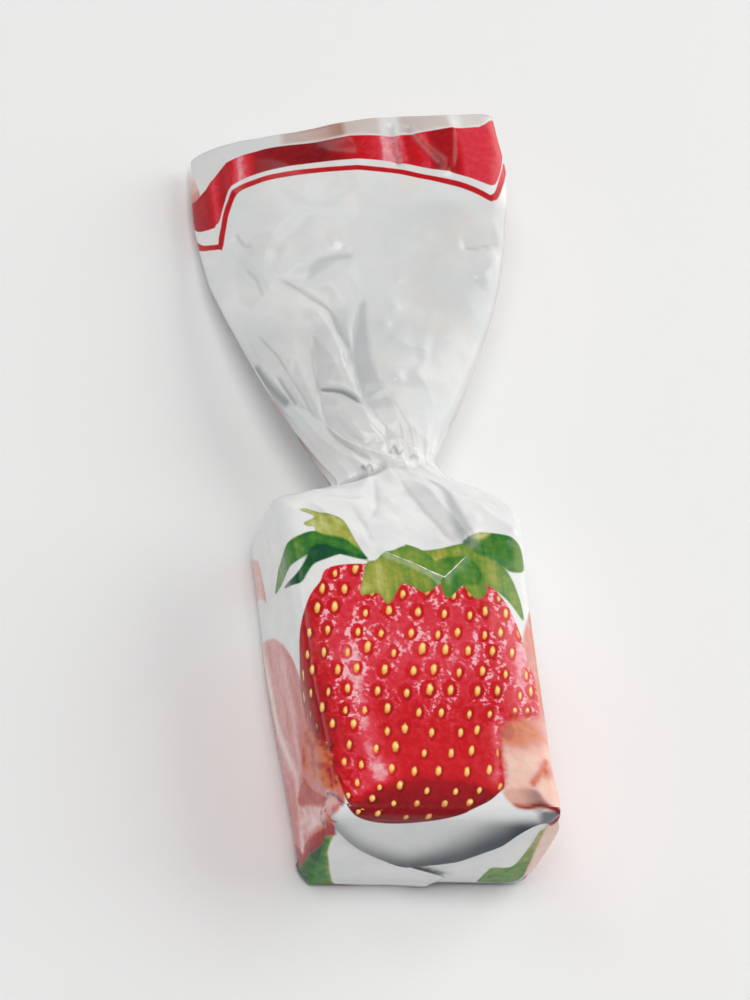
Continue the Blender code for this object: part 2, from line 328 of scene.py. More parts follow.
# Other folds, on the fan in (x, y) and on the block in (s, y): a line, its height, and how far its
# relief reaches on the line's left and right.  A short reach makes a sharp edge, a long one a swell.
FAN_FOLDS = (
    (((1.9, 60), (3.6, 58.4), (6.2, 57.6)), 0.25, 1.6, 1.6),
    (((3.4, 55.4), (5, 53.6), (5.6, 50.6)), 0.25, 1.4, 1.8),
    (((-11, 74), (-12.1, 74.2), (-12.9, 76)), -0.35, 1.2, 0.6),
    (((11.4, 70.4), (13.6, 70.6), (16.2, 71.3)), -0.45, 1.4, 0.45),
    (((15.4, 70), (14, 68), (12.2, 66.4)), 0.38, 1.2, 0.5),
    (((6.2, 80.6), (5.9, 83.4), (5.7, 87.2)), -0.5, 1, 0.45),
    (((11.2, 79.2), (12, 83), (12.4, 87.4)), 0.45, 2.4, 0.45),
    (((11, 80), (8.6, 84), (7.2, 87)), -0.4, 1.4, 0.4),
    (((-12.6, 80.5), (-12.4, 84), (-13.4, 87)), 0.35, 1, 0.6),
    (((2.6, 74), (1, 77), (1.6, 83), (0.6, 87.4)), 0.3, 2.4, 3),
)
FACE_FOLDS = (
    (((-4, 31.2), (-0.4, 29.6), (2.7, 27.9), (3.4, 27.5)), 0.3, 0.9, 0.45),
    (((2, 27.3), (2.7, 27.9), (4.2, 29.3), (5.8, 30.9)), 0.3, 0.9, 0.45),
    (((6.6, 32), (5.1, 34.6), (3.9, 38.4), (3, 42.4)), 0.95, 0.9, 4),
    (((5, 32), (3.3, 35), (2.1, 38.4), (1.2, 42.4)), -0.65, 2.4, 0.7),
    (((-9.8, 41.4), (-7.6, 39), (-5.2, 38.2), (-3.4, 39.4)), 0.45, 0.6, 1.8),
    (((-5.6, 37.4), (-4.6, 34), (-4.4, 31.6)), -0.35, 1.2, 1.2),
    (((-12.6, 36.8), (-9.4, 37.6), (-7.4, 34.4)), 0.4, 1.6, 0.7),
    (((8, 39.4), (9.2, 36.6), (12.4, 34)), 0.45, 1, 1.6),
    (((-3, 43), (-2.4, 40.6), (-2.8, 37.6), (-4.2, 35.2)), -0.4, 0.5, 0.9),
    (((6, 3), (6.6, 7), (7, 12)), -0.18, 1, 2.2),
    (((-10.9, 4), (-10.6, 7), (-11, 12), (-11.6, 20)), -0.18, 0.8, 1.6),
)
FAN_DIMPLES = ((4.3, 67), (1.6, 61.2), (3, 63.4), (-5.7, 63.2), (13.6, 66.8), (-2.2, 72.6), (2, 54.4))
FACE_DIMPLES = ((7.3, 35.9), (3.1, 33), (-4.8, 32), (-6.9, 34.4))
DIMPLE_HEIGHT = 0.20
DIMPLE_RADIUS = 0.62
FURROW_WIDTH = 0.24
NECK_CINCH = ((-6.0, 43.4), (-3.0, 43.6), (-0.5, 44.4), (2.5, 43.4), (6.0, 45.0))
CINCH_DEPTH = 0.7
CINCH_WIDTH = 0.5
PLEATS = 18
PLEAT_DEPTH = 0.8
FINE_PLEATS = 37.0
FINE_PLEAT_DEPTH = 0.16
SIDEWAYS_RELIEF = 0.6


def crease_net():
    """Triangles between the creases, from a net that keeps each line: corners in the plane, and heights."""
    points, heights, lines = [], [], []
    for line in FAN_CREASES:
        lines += [(len(points) + step, len(points) + step + 1) for step in range(len(line) - 1)]
        points += [mathutils.Vector((place[0], place[1])) for place in line]
        heights += [place[2] for place in line]
    points += [mathutils.Vector(place) for place in FAN_RIM]
    heights += [0.0] * len(FAN_RIM)
    net = mathutils.geometry.delaunay_2d_cdt(points, lines, [], 0, 1e-4)
    corners = np.array([tuple(point) for point in net[0]])
    rise = np.array([heights[origin[0]] if origin else 0.0 for origin in net[3]])
    return [(corners[list(face)], rise[list(face)]) for face in net[2]]


CREASE_NET = crease_net()


def creased_relief(x, y):
    """Flat facets: inside each triangle the height is the mean of its corners', weighted by place."""
    relief = np.zeros(np.shape(x))
    for corners, rise in CREASE_NET:
        low, high = corners.min(axis=0), corners.max(axis=0)
        near = (y >= low[1]) & (y <= high[1]) & (x >= low[0]) & (x <= high[0])
        if not near.any():
            continue
        (ax, ay), (bx, by), (cx, cy) = corners
        area = (by - cy) * (ax - cx) + (cx - bx) * (ay - cy)
        a = ((by - cy) * (x - cx) + (cx - bx) * (y - cy)) / area
        b = ((cy - ay) * (x - cx) + (ax - cx) * (y - cy)) / area
        inside = near & (a >= -1e-6) & (b >= -1e-6) & (a + b <= 1.0 + 1e-6)
        relief = np.where(inside, a * rise[0] + b * rise[1] + (1.0 - a - b) * rise[2], relief)
    return relief


def end_fading(place, steepness):
    """1 along most of a line, falling to 0 at its two ends."""
    return np.clip(np.sin(np.pi * np.clip(place, 0.0, 1.0)) * steepness, 0.0, 1.0)


def fold_relief(x, y, folds):
    """Sum of the folds, each falling off as exp(-distance / reach) and fading towards its ends.

    The second answer is painted shade, 0..1, along each furrow.
    """
    relief = np.zeros(np.shape(x))
    furrow_shade = np.zeros(np.shape(x))
    for points, height, left_reach, right_reach in folds:
        away, side, place = nearest_on_line(x, y, smooth_line(points, 5))
        reach = np.where(side < 0.0, left_reach, right_reach)
        fading = end_fading(place, 2.2)
        relief += height * fading * np.exp(-away / reach)
        if height < 0.0:
            furrow_shade = np.maximum(furrow_shade, -1.1 * height * fading * np.exp(-(away / FURROW_WIDTH) ** 2))
    return relief, furrow_shade


def dimple_relief(x, y, places):
    """Small pushed-out spots of the film: each exp(-(distance / radius) squared)."""
    relief = np.zeros(np.shape(x))
    for place in places:
        relief += DIMPLE_HEIGHT * np.exp(-((x - place[0]) ** 2 + (y - place[1]) ** 2) / DIMPLE_RADIUS ** 2)
    return relief


def lattice_height(i, j, seed):
    """A fixed pseudo-random height in -1..1 for each lattice point."""
    value = np.sin(i * 127.1 + j * 311.7 + seed * 74.7) * 43758.5453
    return 2.0 * (value - np.floor(value)) - 1.0


def facets(p, q, cell, seed):
    """Crumple: random heights on a triangle lattice joined by flat facets, its lines bent a little."""
    bend = 0.35 * cell
    p0 = p + bend * np.sin(q / (0.8 * cell) + seed) + 0.5 * bend * np.sin(p / (0.5 * cell) + 2.0 * seed)
    q0 = q + bend * np.sin(p / (0.9 * cell) + 1.7 * seed) + 0.5 * bend * np.sin(q / (0.45 * cell) + seed)
    a = (p0 + 0.577 * q0) / cell
    b = 1.155 * q0 / cell
    i, j = np.floor(a), np.floor(b)
    fa, fb = a - i, b - j
    upper = fa + fb > 1.0
    h10, h01 = lattice_height(i + 1, j, seed), lattice_height(i, j + 1, seed)
    h00, h11 = lattice_height(i, j, seed), lattice_height(i + 1, j + 1, seed)
    low = h00 + fa * (h10 - h00) + fb * (h01 - h00)
    high = h11 + (1.0 - fa) * (h01 - h11) + (1.0 - fb) * (h10 - h11)
    return np.where(upper, high, low)


def pleat_relief(turn_share, unit_x, unit_z, y):
    """Sharp pleats gathered at the neck: each rises as 1 - |sine| with its own height and length.

    They fade soon on the right of the face, which stays smooth, and run on over its left.
    """
    sway = 0.010 * np.sin(6.0 * np.pi * turn_share + 0.12 * y)
    small_sway = 0.004 * np.sin(0.8 * y + 14.0 * np.pi * turn_share)
    bent = turn_share + sway + small_sway
    pleat = np.mod(np.round(PLEATS * bent), PLEATS)
    own_height = 0.25 + 0.75 * (0.5 + 0.5 * lattice_height(pleat, 0.0 * pleat, 11.0))
    own_length = 0.55 + 0.9 * (0.5 + 0.5 * lattice_height(pleat, 0.0 * pleat + 3.0, 12.0))
    rise = 1.0 - np.abs(np.sin(np.pi * PLEATS * bent))
    right_side = ease(unit_x, -0.1, 0.4) * ease(unit_z, -0.2, 0.4)
    front = ease(unit_z, -0.1, 0.5)
    reach = (0.42 - 0.30 * front) * own_length
    fading = 1.0 - ease(fan_place(y), 0.10 * reach, 1.1 * reach)
    gathered = ease(y, NECK_Y - 7.0, NECK_Y - 0.5)
    soft = (1.0 - 0.6 * right_side) * (1.0 - 0.7 * front) * (1.0 - 0.5 * ease(-unit_x, 0.6, 0.95))
    main = PLEAT_DEPTH * gathered * fading * soft * (1.9 * own_height * rise - 0.55)
    at_neck = ease(y, NECK_Y - 6.0, NECK_Y - 1.5) * (1.0 - ease(y, NECK_Y + 1.0, NECK_Y + 6.0))
    fine = np.abs(np.sin(np.pi * FINE_PLEATS * bent + 0.7))
    return main - FINE_PLEAT_DEPTH * at_neck * fine * (1.0 - 0.8 * front)


def fan_crumple(x, y, unit_x):
    """Flat facets over the fan, large and middling, smaller near the neck on the left."""
    left = ease(-unit_x, -0.1, 0.3)
    large = (0.34 - 0.10 * left) * facets(x, y, 9.0, 1.0)
    middling = 0.14 * (1.0 - 0.5 * left) * facets(x, y, 5.2, 13.0)
    small = (0.04 + 0.05 * left * (1.0 - ease(y, 60.0, 72.0))) * facets(x, y, 2.8, 2.0)
    return large + middling + small


def body_crumple(s, y, unit_z):
    """Flat facets over the shoulders and faint ones over the block, but none on the back it lies on."""
    lying = ease(-unit_z, 0.6, 0.9) * (1.0 - ease(y, 36.0, 42.0))
    shoulder = 0.45 * facets(s, y, 6.0, 3.0) + 0.18 * facets(s, y, 2.6, 4.0)
    block = 0.12 * facets(s, y, 7.0, 5.0) + 0.03 * facets(s, 0.4 * y, 2.2, 6.0)
    return (1.0 - lying) * (ease(y, 29.0, 36.0) * shoulder + ease(y, END_RADIUS, 6.0) * block)


def face_camber(s, y):
    """How far the printed face falls away towards its two long edges."""
    along = (1.0 - ease(y, 28.0, 34.0)) * ease(y, 2.2, 9.0)
    return along * (0.60 * ease(s, 6.9, 12.6) + 0.40 * ease(-s, 8.6, 12.6))


def film_relief(turn_share, unit_x, unit_z, x, y, s):
    """The film's relief, as the sum of its pleats, creases, folds, dimples and crumple.

    The second answer is painted shade, 0..1, in its furrows and round the neck's cinch.
    """
    front = ease(unit_z, 0.0, 0.45)
    body = 1.0 - ease(y, SHOULDER_SIDE_Y, NECK_Y)
    fan = ease(y, NECK_Y - 1.0, NECK_Y + 4.0)
    fan_folds, fan_furrow = fold_relief(x, y, FAN_FOLDS)
    face_folds, face_furrow = fold_relief(s, y, FACE_FOLDS)
    cinch = nearest_on_line(x, y, NECK_CINCH)[0]
    cinched = front * (0.25 + 0.75 * ease(-x, -0.5, 2.5))
    relief = pleat_relief(turn_share, unit_x, unit_z, y)
    relief += front * (fan * fan_folds + body * face_folds)
    relief += front * ease(y, NECK_Y - 2.5, NECK_Y + 0.5) * creased_relief(x, y)
    relief += front * (dimple_relief(x, y, FAN_DIMPLES) + dimple_relief(s, y, FACE_DIMPLES))
    relief += fan * fan_crumple(x, y, unit_x) + body * body_crumple(s, y, unit_z)
    relief -= CINCH_DEPTH * cinched * np.exp(-(cinch / CINCH_WIDTH) ** 2)
    relief -= front * face_camber(s, y)
    furrow_shade = front * (fan * fan_furrow + 0.4 * body * face_furrow)
    furrow_shade = np.maximum(furrow_shade, 0.9 * cinched * np.exp(-(cinch / (0.8 * CINCH_WIDTH)) ** 2))
    return relief, furrow_shade


def rim_waves(x, y):
    """Small waves of the fan's outer edge, as a slow sine with facets."""
    waves = 0.16 * np.sin(0.42 * x + 0.4) + 0.10 * facets(x, 0.0 * x, 2.6, 7.0) - 0.2
    return ease(fan_place(y), 0.85, 1.0) * waves


def film_points(turn_share, y, inset=0.0):
    """Points of the film tube, its place on the flat film (s, across, angle), and the painted shade of its
    furrows.

    The section goes from the squared block to an oval at the neck, is pushed out by its relief, and the
    fan is turned about its length.
    """
    box_x, box_z = box_outline(turn_share)
    angle = 2.0 * np.pi * turn_share - 0.5 * np.pi + NECK_TWIST * ease(y, NECK_Y - 5.5, NECK_Y + 12.0)
    oval = ease(y, SHOULDER_SIDE_Y - 2.0, NECK_Y)
    unit_x = (1.0 - oval) * box_x + oval * np.cos(angle)
    unit_z = np.clip(FACE_FLATTENING * ((1.0 - oval) * box_z + oval * np.sin(angle)), -1.0, 1.0)
    x = (half_width(y) - inset) * unit_x - left_bulge(y) * np.clip(-unit_x, 0.0, 1.0)
    z = (half_height(y) - inset) * unit_z
    s = (0.5 - turn_share) * GIRTH
    relief, furrow_shade = film_relief(turn_share, unit_x, unit_z, x, y, s)
    length = np.hypot(unit_x, unit_z) + 1e-9
    x = x + SIDEWAYS_RELIEF * relief * unit_x / length
    z = z + relief * unit_z / length
    slanting = ease(y, NECK_Y - 6.0, NECK_Y) - ease(y, NECK_Y + 4.0, NECK_Y + 30.0)
    turn = TAIL_TURN * ease(y, NECK_Y, NECK_Y + 0.8 * (TAIL_END_Y - NECK_Y))
    middle = 0.5 * (top_height(y) + bottom_height(y))
    points = np.stack([
        x * np.cos(turn) - z * np.sin(turn),
        y + NECK_SLANT * slanting * unit_x + rim_waves(x, y),
        np.maximum(middle + x * np.sin(turn) + z * np.cos(turn), 0.0),
    ], axis=-1)
    return points, s, x, np.mod(angle, 2.0 * np.pi), furrow_shade


# The skin's rings, and the steps round each, closest on the printed face.
FACE_STEPS = 132
SIDE_STEPS = 44
BACK_STEPS = 52
END_RINGS = 16
CORNER_RINGS = 6
MOUTH_RINGS = 12
MOUTH_SPREAD = 1.3
ON_THE_END = -50.0
IN_THE_MOUTH = 100.0
LENGTH_STOPS = np.concatenate([
    np.linspace(END_RADIUS, 26.0, 74)[1:], np.linspace(26.0, NECK_Y, 82)[1:],
    np.linspace(NECK_Y, 60.0, 82)[1:], np.linspace(60.0, TAIL_END_Y, 88)[1:],
])


def turn_shares():
    """Steps round the film: half the back, right side, face, left side, the rest of the back."""
    face_share = 2.0 * EDGE_S / GIRTH
    half = 0.5 * face_share
    corners = (0.0, half, 0.5 - half, 0.5 + half, 1.0 - half, 1.0)
    steps = (BACK_STEPS // 2, SIDE_STEPS, FACE_STEPS, SIDE_STEPS, BACK_STEPS // 2)
    runs = zip(corners[:-1], corners[1:], steps)
    return np.concatenate([np.linspace(start, end, count, endpoint=False) for start, end, count in runs])


def film_tube():
    """The whole skin as rings: folded end, corner, length, lip and the inside of the mouth.

    Beside each point goes its place on the film: girth s, distance across, film y, height, angle, and the
    painted shade of its furrows.
    """
    share = turn_shares()
    rings, places = [], []

    def section(y, inset=0.0):
        """The ring of the film at y, drawn in by the inset."""
        return film_points(share, np.full(share.shape, y), inset)

    def add(ring, s, across, film_y, angle, furrow_shade):
        """Puts a ring at the end of the skin, with its place on the film."""
        rings.append(ring)
        place = [s, across, np.full(s.shape, film_y), ring[:, 2], angle, furrow_shade]
        places.append(np.stack(place, axis=-1))

    rim, s, across, angle, furrow_shade = section(END_RADIUS, END_RADIUS)
    centre = rim.mean(axis=0)
    for step in range(1, END_RINGS + 1):
        portion = step / END_RINGS
        ring = centre + (rim - centre) * portion
        ring[:, 1] = -END_BULGE * (1.0 - portion * portion) - end_slope(ring[:, 2])
        add(ring, s, ring[:, 0], ON_THE_END, angle, 0.0 * s)
    for step in range(1, CORNER_RINGS + 1):
        bend = 0.5 * np.pi * step / CORNER_RINGS
        ring, s, across, angle, furrow_shade = section(END_RADIUS, END_RADIUS * (1.0 - np.sin(bend)))
        ring[:, 1] = END_RADIUS * (1.0 - np.cos(bend)) - end_slope(ring[:, 2]) * np.cos(bend)
        add(ring, s, ring[:, 0], END_RADIUS * (1.0 + bend - 0.5 * np.pi), angle, 0.0 * s)
    for y in LENGTH_STOPS:
        ring, s, across, angle, furrow_shade = section(y)
        add(ring, s, across, y, angle, furrow_shade)
    for portion in np.linspace(0.0, 1.0, MOUTH_RINGS):
        y = TAIL_END_Y - MOUTH_DEPTH * portion
        ring, s, across, angle, furrow_shade = section(y, MOUTH_WALL + MOUTH_SPREAD * portion ** 2)
        add(ring, s, across, IN_THE_MOUTH + y, angle, 0.0 * s)
    return np.array(rings), np.array(places)


def tube_faces(ring_count, ring_size):
    """Quads between the rings, with a fan of triangles to a middle point at each end."""
    ring = np.arange(ring_count - 1)[:, None] * ring_size
    step = np.arange(ring_size)[None, :]
    after = (step + 1) % ring_size
    quads = np.stack([ring + step, ring + ring_size + step, ring + ring_size + after, ring + after], axis=-1)
    first, last = ring_count * ring_size, ring_count * ring_size + 1
    step, after = step[0], after[0]
    end = (ring_count - 1) * ring_size
    start_fan = np.stack([step, after, np.full(ring_size, first)], axis=-1)
    end_fan = np.stack([end + after, end + step, np.full(ring_size, last)], axis=-1)
    return quads.reshape(-1, 4).tolist() + start_fan.tolist() + end_fan.tolist()


def new_piece(name, points, faces):
    """A mesh piece in the part's frame, smooth, from points in millimetres."""
    mesh = bpy.data.meshes.new(name)
    mesh.from_pydata(((np.asarray(points) - (0.0, FRAME_Y, 0.0)) * MM).tolist(), [], faces)
    mesh.validate()
    mesh.shade_smooth()
    piece = bpy.data.objects.new(name, mesh)
    bpy.context.collection.objects.link(piece)
    return piece


# The print on the film's body, as closed outlines in (s, y).  The berry lies on the face with its
# leaves over it, and a second berry and cut fruit run over the edges.
BERRY = (
    (-9, 29), (-10.2, 27.3), (-11.3, 25.9), (-12.1, 24.2), (-12.7, 22.7), (-13.4, 21), (-14, 19.4),
    (-14.8, 17.6), (-15.6, 15.8), (-15.8, 14), (-15.2, 12), (-14.2, 10.3), (-13, 8.8), (-12.2, 7.2),
    (-11.8, 5), (-11.4, 3), (-10.9, 1.2), (-10.2, 0.2), (-9.2, -0.4), (-7.6, -0.9), (-5.5, -1.05),
    (-3, -0.85), (-0.5, -0.35), (1.6, 0.25), (3.2, 0.95), (4.6, 1.65), (5.7, 2.5), (6.8, 3.6), (7, 5),
    (7, 7), (7, 9), (7.4, 10.5), (8.6, 11.2), (10.2, 11.5), (11.5, 11.8), (12, 12.8), (12.1, 14.6),
    (12, 16.6), (11.4, 18.6), (11.3, 20.2), (10.9, 22), (10.4, 23.8), (9.8, 25.2), (8.9, 26.4), (7, 28.5),
    (-4, 29.5),
)
# Each leaf is an outline with its tone at its left and its right end, from 0, dark blue-green, to 1,
# pale yellow-green.
LEAVES = (
    (((-5.2, 30.1), (-5.6, 31.2), (-6.1, 32.6), (-6.5, 34.2), (-6.8, 35.2), (-7.6, 35.8), (-9, 36.3),
     (-10.3, 36.9), (-10.9, 36.6), (-9.6, 35.7), (-10.9, 34.7), (-10.6, 34.2), (-9.9, 34), (-9.9, 32.6),
     (-8, 31.4)), 0.95, 0.8),
    (((-5, 30), (-6.2, 31.6), (-7.4, 32.6), (-9.2, 33), (-10.2, 33.5), (-12, 32.8), (-14, 31.9),
     (-16, 31.5), (-17.6, 31), (-19.4, 29.4), (-17, 29.3), (-14.4, 29.4), (-12.6, 29.8), (-11, 30.6),
     (-9.6, 31.2), (-7.6, 30.5)), 0.42, 0.3),
    (((-5.2, 30.2), (-7, 30.9), (-9, 31.6), (-10.3, 31.6), (-11.2, 30.4), (-12.2, 28.9), (-13.4, 28.2),
     (-16.2, 28.6), (-14.2, 27.7), (-12.3, 27.3), (-11.4, 28.4), (-10.6, 29.4), (-9.2, 30), (-7.4, 30.6)),
     0, 0.12),
    (((11.6, 23.4), (11.7, 25), (11.4, 26.6), (10.8, 28.4), (9.4, 30.4), (7.6, 31.8), (5.6, 31.9),
     (5, 30.2), (6.6, 28.2), (8.6, 26.8), (10.2, 25.4)), 0.62, 0.55),
    (((12.4, 29.4), (12.5, 30.8), (11.6, 33), (10, 33.7), (8.4, 33.8), (6.9, 33.5), (5.4, 32.4),
     (6.6, 31.4), (9, 30.4), (10.6, 29.2)), 0.3, 0.45),
    (((8.8, 33.75), (7.4, 33.75), (6.4, 33), (7.6, 32.9)), 0.95, 0.95),
    (((-1, 31.8), (0.2, 31.7), (1, 31.4), (3, 31.7), (5, 32.2), (6.6, 32.1), (6.4, 30.4), (7.4, 28.2),
     (7.6, 26.6), (6.4, 25.6), (5.2, 26.8), (4.4, 28.8), (2.4, 28.4)), 0.8, 0.6),
    (((6.2, 30.4), (7.2, 28.6), (6.6, 27.4), (5, 27.3), (3, 25.6), (2.2, 27.4), (1, 28.6), (2.6, 30.2),
     (4.6, 30.6)), 0.38, 0.46),
    (((-17.5, -0.5), (-20, 0), (-22.6, 0.5), (-25.6, 0.7), (-29, 1), (-29, -2), (-17, -2)), 0.2, 0.02),
    (((-5.2, 29.6), (-4.2, 30), (-3.4, 30.8), (-2.4, 31.1), (-1, 31.8), (0.4, 31.4), (1.6, 30.6),
     (2.6, 29), (2.2, 27.4), (0.6, 26.2), (-0.6, 26.8), (-1.8, 27.2), (-2.8, 25.6), (-3.6, 24.7),
     (-4.4, 26), (-6.2, 25.8), (-5.8, 27.6)), 0.88, 0.5),
)
SIDE_BERRY = (
    (-33, 24), (-31, 26.2), (-29, 27.2), (-27, 27.2), (-25, 26.7), (-23, 25.9), (-21.2, 25),
    (-19.6, 23.8), (-18.2, 22.4), (-17, 20.9), (-16, 19.4), (-15.2, 17.6), (-14, 14), (-12.4, 9),
    (-11, 5), (-11.2, 1.6), (-12.2, -0.2), (-13.6, -2), (-20, -2), (-29, -2), (-34.5, 2), (-36, 10),
    (-35, 18),
)
# Zones of the cut fruit on the left side: an outline, its tone, the tone's grain, and how soft its edge is.
SIDE_ZONES = (
    (((-14.4, 14), (-16.5, 12.2), (-18.2, 10.6), (-19.4, 8.6), (-16.4, 6.4), (-13.6, 4.2), (-12.2, 3),
     (-11.4, 5.4), (-12, 9), (-13, 11.6)), 0.31, 0.22, 0.55),
    (((-22.6, 6), (-23.4, 3.4), (-20, 1.6), (-15.8, 0.6), (-13.2, 0.4), (-11.8, 1.4), (-13, 2.9),
     (-15.6, 3), (-19.2, 4.4)), 0.76, 0.12, 0.35),
    (((-33, 4.2), (-27.5, 3.8), (-25.2, 2.4), (-24.2, 1.2), (-22.6, 1.5), (-20, 1.2), (-16, 0.3),
     (-14, -0.8), (-14, -3), (-33, -3)), 0.06, 0.08, 0.14),
    (((-20.6, 7.5), (-22.7, 6.9), (-22.5, 6), (-20.6, 5), (-17.6, 3.5), (-14.6, 2), (-13.7, 2.7),
     (-15.6, 4), (-18, 5.9), (-19.4, 7.8)), 0.2, 0.05, 0.2),
)
# A painted highlight streak down that fruit, and a pink mark above it.
SIDE_HIGHLIGHT_STREAK = (
    (-26.8, 26.6), (-25.8, 21.2), (-25, 16), (-23.4, 12), (-21.8, 9), (-22.6, 6.6), (-23.4, 3.4),
    (-24.2, 0.4),
)
SIDE_MARK = (
    (-23.5, 35.6), (-23.3, 33.6), (-23, 31.8), (-22.7, 30.2), (-23.8, 31), (-25.4, 32), (-30, 33.5),
    (-30, 38), (-26, 37.4), (-24.4, 36.4),
)
# The fruit on the right side.
FAR_BERRY = (
    (11.2, 21), (12.2, 23.6), (13.2, 25.2), (15.4, 26), (17.8, 26.6), (20.6, 27.2), (24, 26.6),
    (27, 25.2), (30, 21.6), (31, 16), (30, 8), (27, 1), (24, -2), (14, -2), (12, 0.2), (10.4, 0.85),
    (8.8, 0.8), (7.5, 1.1), (6.5, 2.2), (6.2, 5), (6.1, 8), (6.3, 11.2), (8.4, 12.4), (10.4, 13),
    (11, 15), (11, 18),
)
# Painted shade on the right shoulder's fold and at the folded end's right corner, and that corner's dark tip.
SHOULDER_SHADE = (
    (7.3, 31.9), (6.4, 35.2), (5.9, 38.4), (5.9, 41.6), (5.1, 41.6), (4.7, 38.6), (4.5, 35.6),
    (5.3, 32.4),
)
CORNER_SHADE = (
    (6.3, 3), (8.2, 3.2), (10, 3.1), (11, 1.8), (12.2, 0.7), (10.8, 1), (8.9, 0.8), (7.6, 1.1), (6.6, 2),
)
CORNER_TIP = ((9.8, -1.7), (10.9, -0.8), (12.4, 0.5), (13.2, 0.4), (12.8, -0.9), (11.5, -2))
# Painted shadow lines at the edges of the folded end's left corner, and a painted white highlight along the
# crease over the leaves.
EAR_SHADOW_LINES = (
    ((-13.3, 2.8), (-12.2, 2.3), (-11.3, 1)),
    ((-13, 2.5), (-14.8, 1.9), (-16.1, 1.4), (-15.9, 0.6), (-14.6, 0.3)),
)
GLINT_CREASE_LINE = ((-3.5, 31.0), (-0.4, 29.6), (2.7, 27.9), (4.2, 29.3), (5.5, 30.6))
# Where the berry turns under at the folded end, as y over s.
TURNED_UNDER = ((-10.4, -8.8, -6.0, -1.6, 2.8, 5.0, 6.8), (1.2, 2.6, 3.6, 4.4, 4.0, 2.8, 2.2))
BERRY_TONE = 0.50
OUTSIDE = 3.0


def inside_distance(x, y, outline, steps=4):
    """Distance to a smooth closed outline, positive inside it, by the even-odd rule, to 3 mm off."""
    line = smooth_line(outline, steps, closed=True)
    near = (x > line[:, 0].min() - OUTSIDE) & (x < line[:, 0].max() + OUTSIDE)
    near &= (y > line[:, 1].min() - OUTSIDE) & (y < line[:, 1].max() + OUTSIDE)
    result = np.full(np.shape(x), -OUTSIDE)
    px, py = x[near], y[near]
    away = np.full(px.shape, 3.0 * OUTSIDE)
    inside = np.zeros(px.shape, dtype=bool)
    for (x0, y0), (x1, y1) in zip(line[:-1], line[1:]):
        dx, dy = x1 - x0, y1 - y0
        t = np.clip(((px - x0) * dx + (py - y0) * dy) / (dx * dx + dy * dy + 1e-9), 0.0, 1.0)
        away = np.minimum(away, np.hypot(px - x0 - t * dx, py - y0 - t * dy))
        crosses = (y0 > py) != (y1 > py)
        inside ^= crosses & (px < x0 + (py - y0) * dx / (dy + 1e-12 * (dy == 0.0)))
    result[near] = np.clip(np.where(inside, away, -away), -OUTSIDE, OUTSIDE)
    return result


def covered(x, y, outline, low, high):
    """How far an outline covers a place, 0..1, as its edge softens from low to high."""
    return ease(inside_distance(x, y, outline), low, high)


def blot(x, y, place, size):
    """A soft round patch: exp(-(distance / size) squared), size as (across, along)."""
    return np.exp(-((x - place[0]) / size[0]) ** 2 - ((y - place[1]) / size[1]) ** 2)


def streak(x, y, points, width):
    """A soft streak along a line: exp(-(distance / width) squared)."""
    return np.exp(-(nearest_on_line(x, y, points)[0] / width) ** 2)


def toward(value, target, share):
    """The value taken a share of the way to the target."""
    return value + (target - value) * share


def berry_inks(s, y):
    """The berry: paler in streaks and flecks where it shines, partly its print's own gloss and partly painted
    highlight; darker at its rim, and darker where it turns under, partly print and partly painted shade.
    """
    berry = inside_distance(s, y, BERRY)
    right_tear = ease(y, 1.5, 4.0) * (1.0 - ease(y, 12.0, 14.0)) * ease(s, 5.5, 7.0)
    left_tear = ease(y, 3.0, 5.0) * (1.0 - ease(y, 13.0, 16.0)) * ease(-s, 10.5, 12.0)
    torn = np.where(s > 0.0, right_tear, left_tear)
    grain = 0.80 + 0.20 * facets(s, y, 0.9, 26.0)
    rim = np.exp(-np.clip(berry, 0.0, OUTSIDE) / 0.5)
    below = ease(np.interp(s, *TURNED_UNDER) - y, -0.35, 0.45)
    far_below = ease(np.interp(s, *TURNED_UNDER) - y, 1.4, 2.8)
    left_sheen = streak(s, y, ((-8.2, 19.0), (-8.0, 12.0), (-7.6, 7.0), (-7.0, 4.6)), 1.1)
    low_sheen = streak(s, y, ((-9.8, 2.6), (-7.4, 4.2), (-6.2, 5.2)), 1.1)
    right_sheen = streak(s, y, ((10.4, 25.0), (10.9, 21.0), (10.6, 16.5), (9.4, 12.6)), 1.1)
    right_edge = streak(s, y, ((7.2, 11.4), (6.9, 8.0), (6.4, 3.2)), 0.9)

    # Painted highlights: the sheen streaks, the pale lower left and the paler right; painted shade: darker
    # below the face's edge and where the berry turns under, partly print there too.
    tone = BERRY_TONE - 0.20 * ease(-y, -6.0, -0.5) - 0.10 * rim * ease(-y, -12.0, -2.0)
    tone += grain * (0.38 * left_sheen + 0.24 * right_sheen + 0.10 * ease(y, 12.0, 18.0))
    tone += grain * 0.42 * (0.75 + 0.35 * facets(s, y, 0.45, 29.0)) * low_sheen
    tone += grain * 0.12 * ease(s, 8.0, 11.0) * ease(y, 10.0, 14.0)
    tone += 0.14 * blot(s, y, (1.0, 19.5), (8.5, 3.5)) - 0.30 * ease(-s, 9.5, 13.0)
    tone += 0.34 * (0.5 + 0.5 * facets(s, y, 0.5, 30.0)) * right_edge
    tone += 0.50 * np.clip(0.2 + facets(s, y, 0.45, 31.0), 0.0, 1.0) * blot(s, y, (-10.8, 4.4), (1.3, 3.4))
    net = 0.06 + 0.9 * ease(y, 8.5, 14.0) + 0.3 * ease(-s, 6.0, 9.0) + 0.25 * ease(s, 4.5, 7.0)
    return {
        "red": berry * (1.0 - 0.86 * torn),
        "torn": torn * np.where(s > 0.0, 0.32, 1.0),
        "red_tone": tone - 0.16 * below,
        "net": net * (1.0 - 0.7 * ease(-s, 9.5, 12.0)) * (1.0 - 0.80 * far_below),
    }


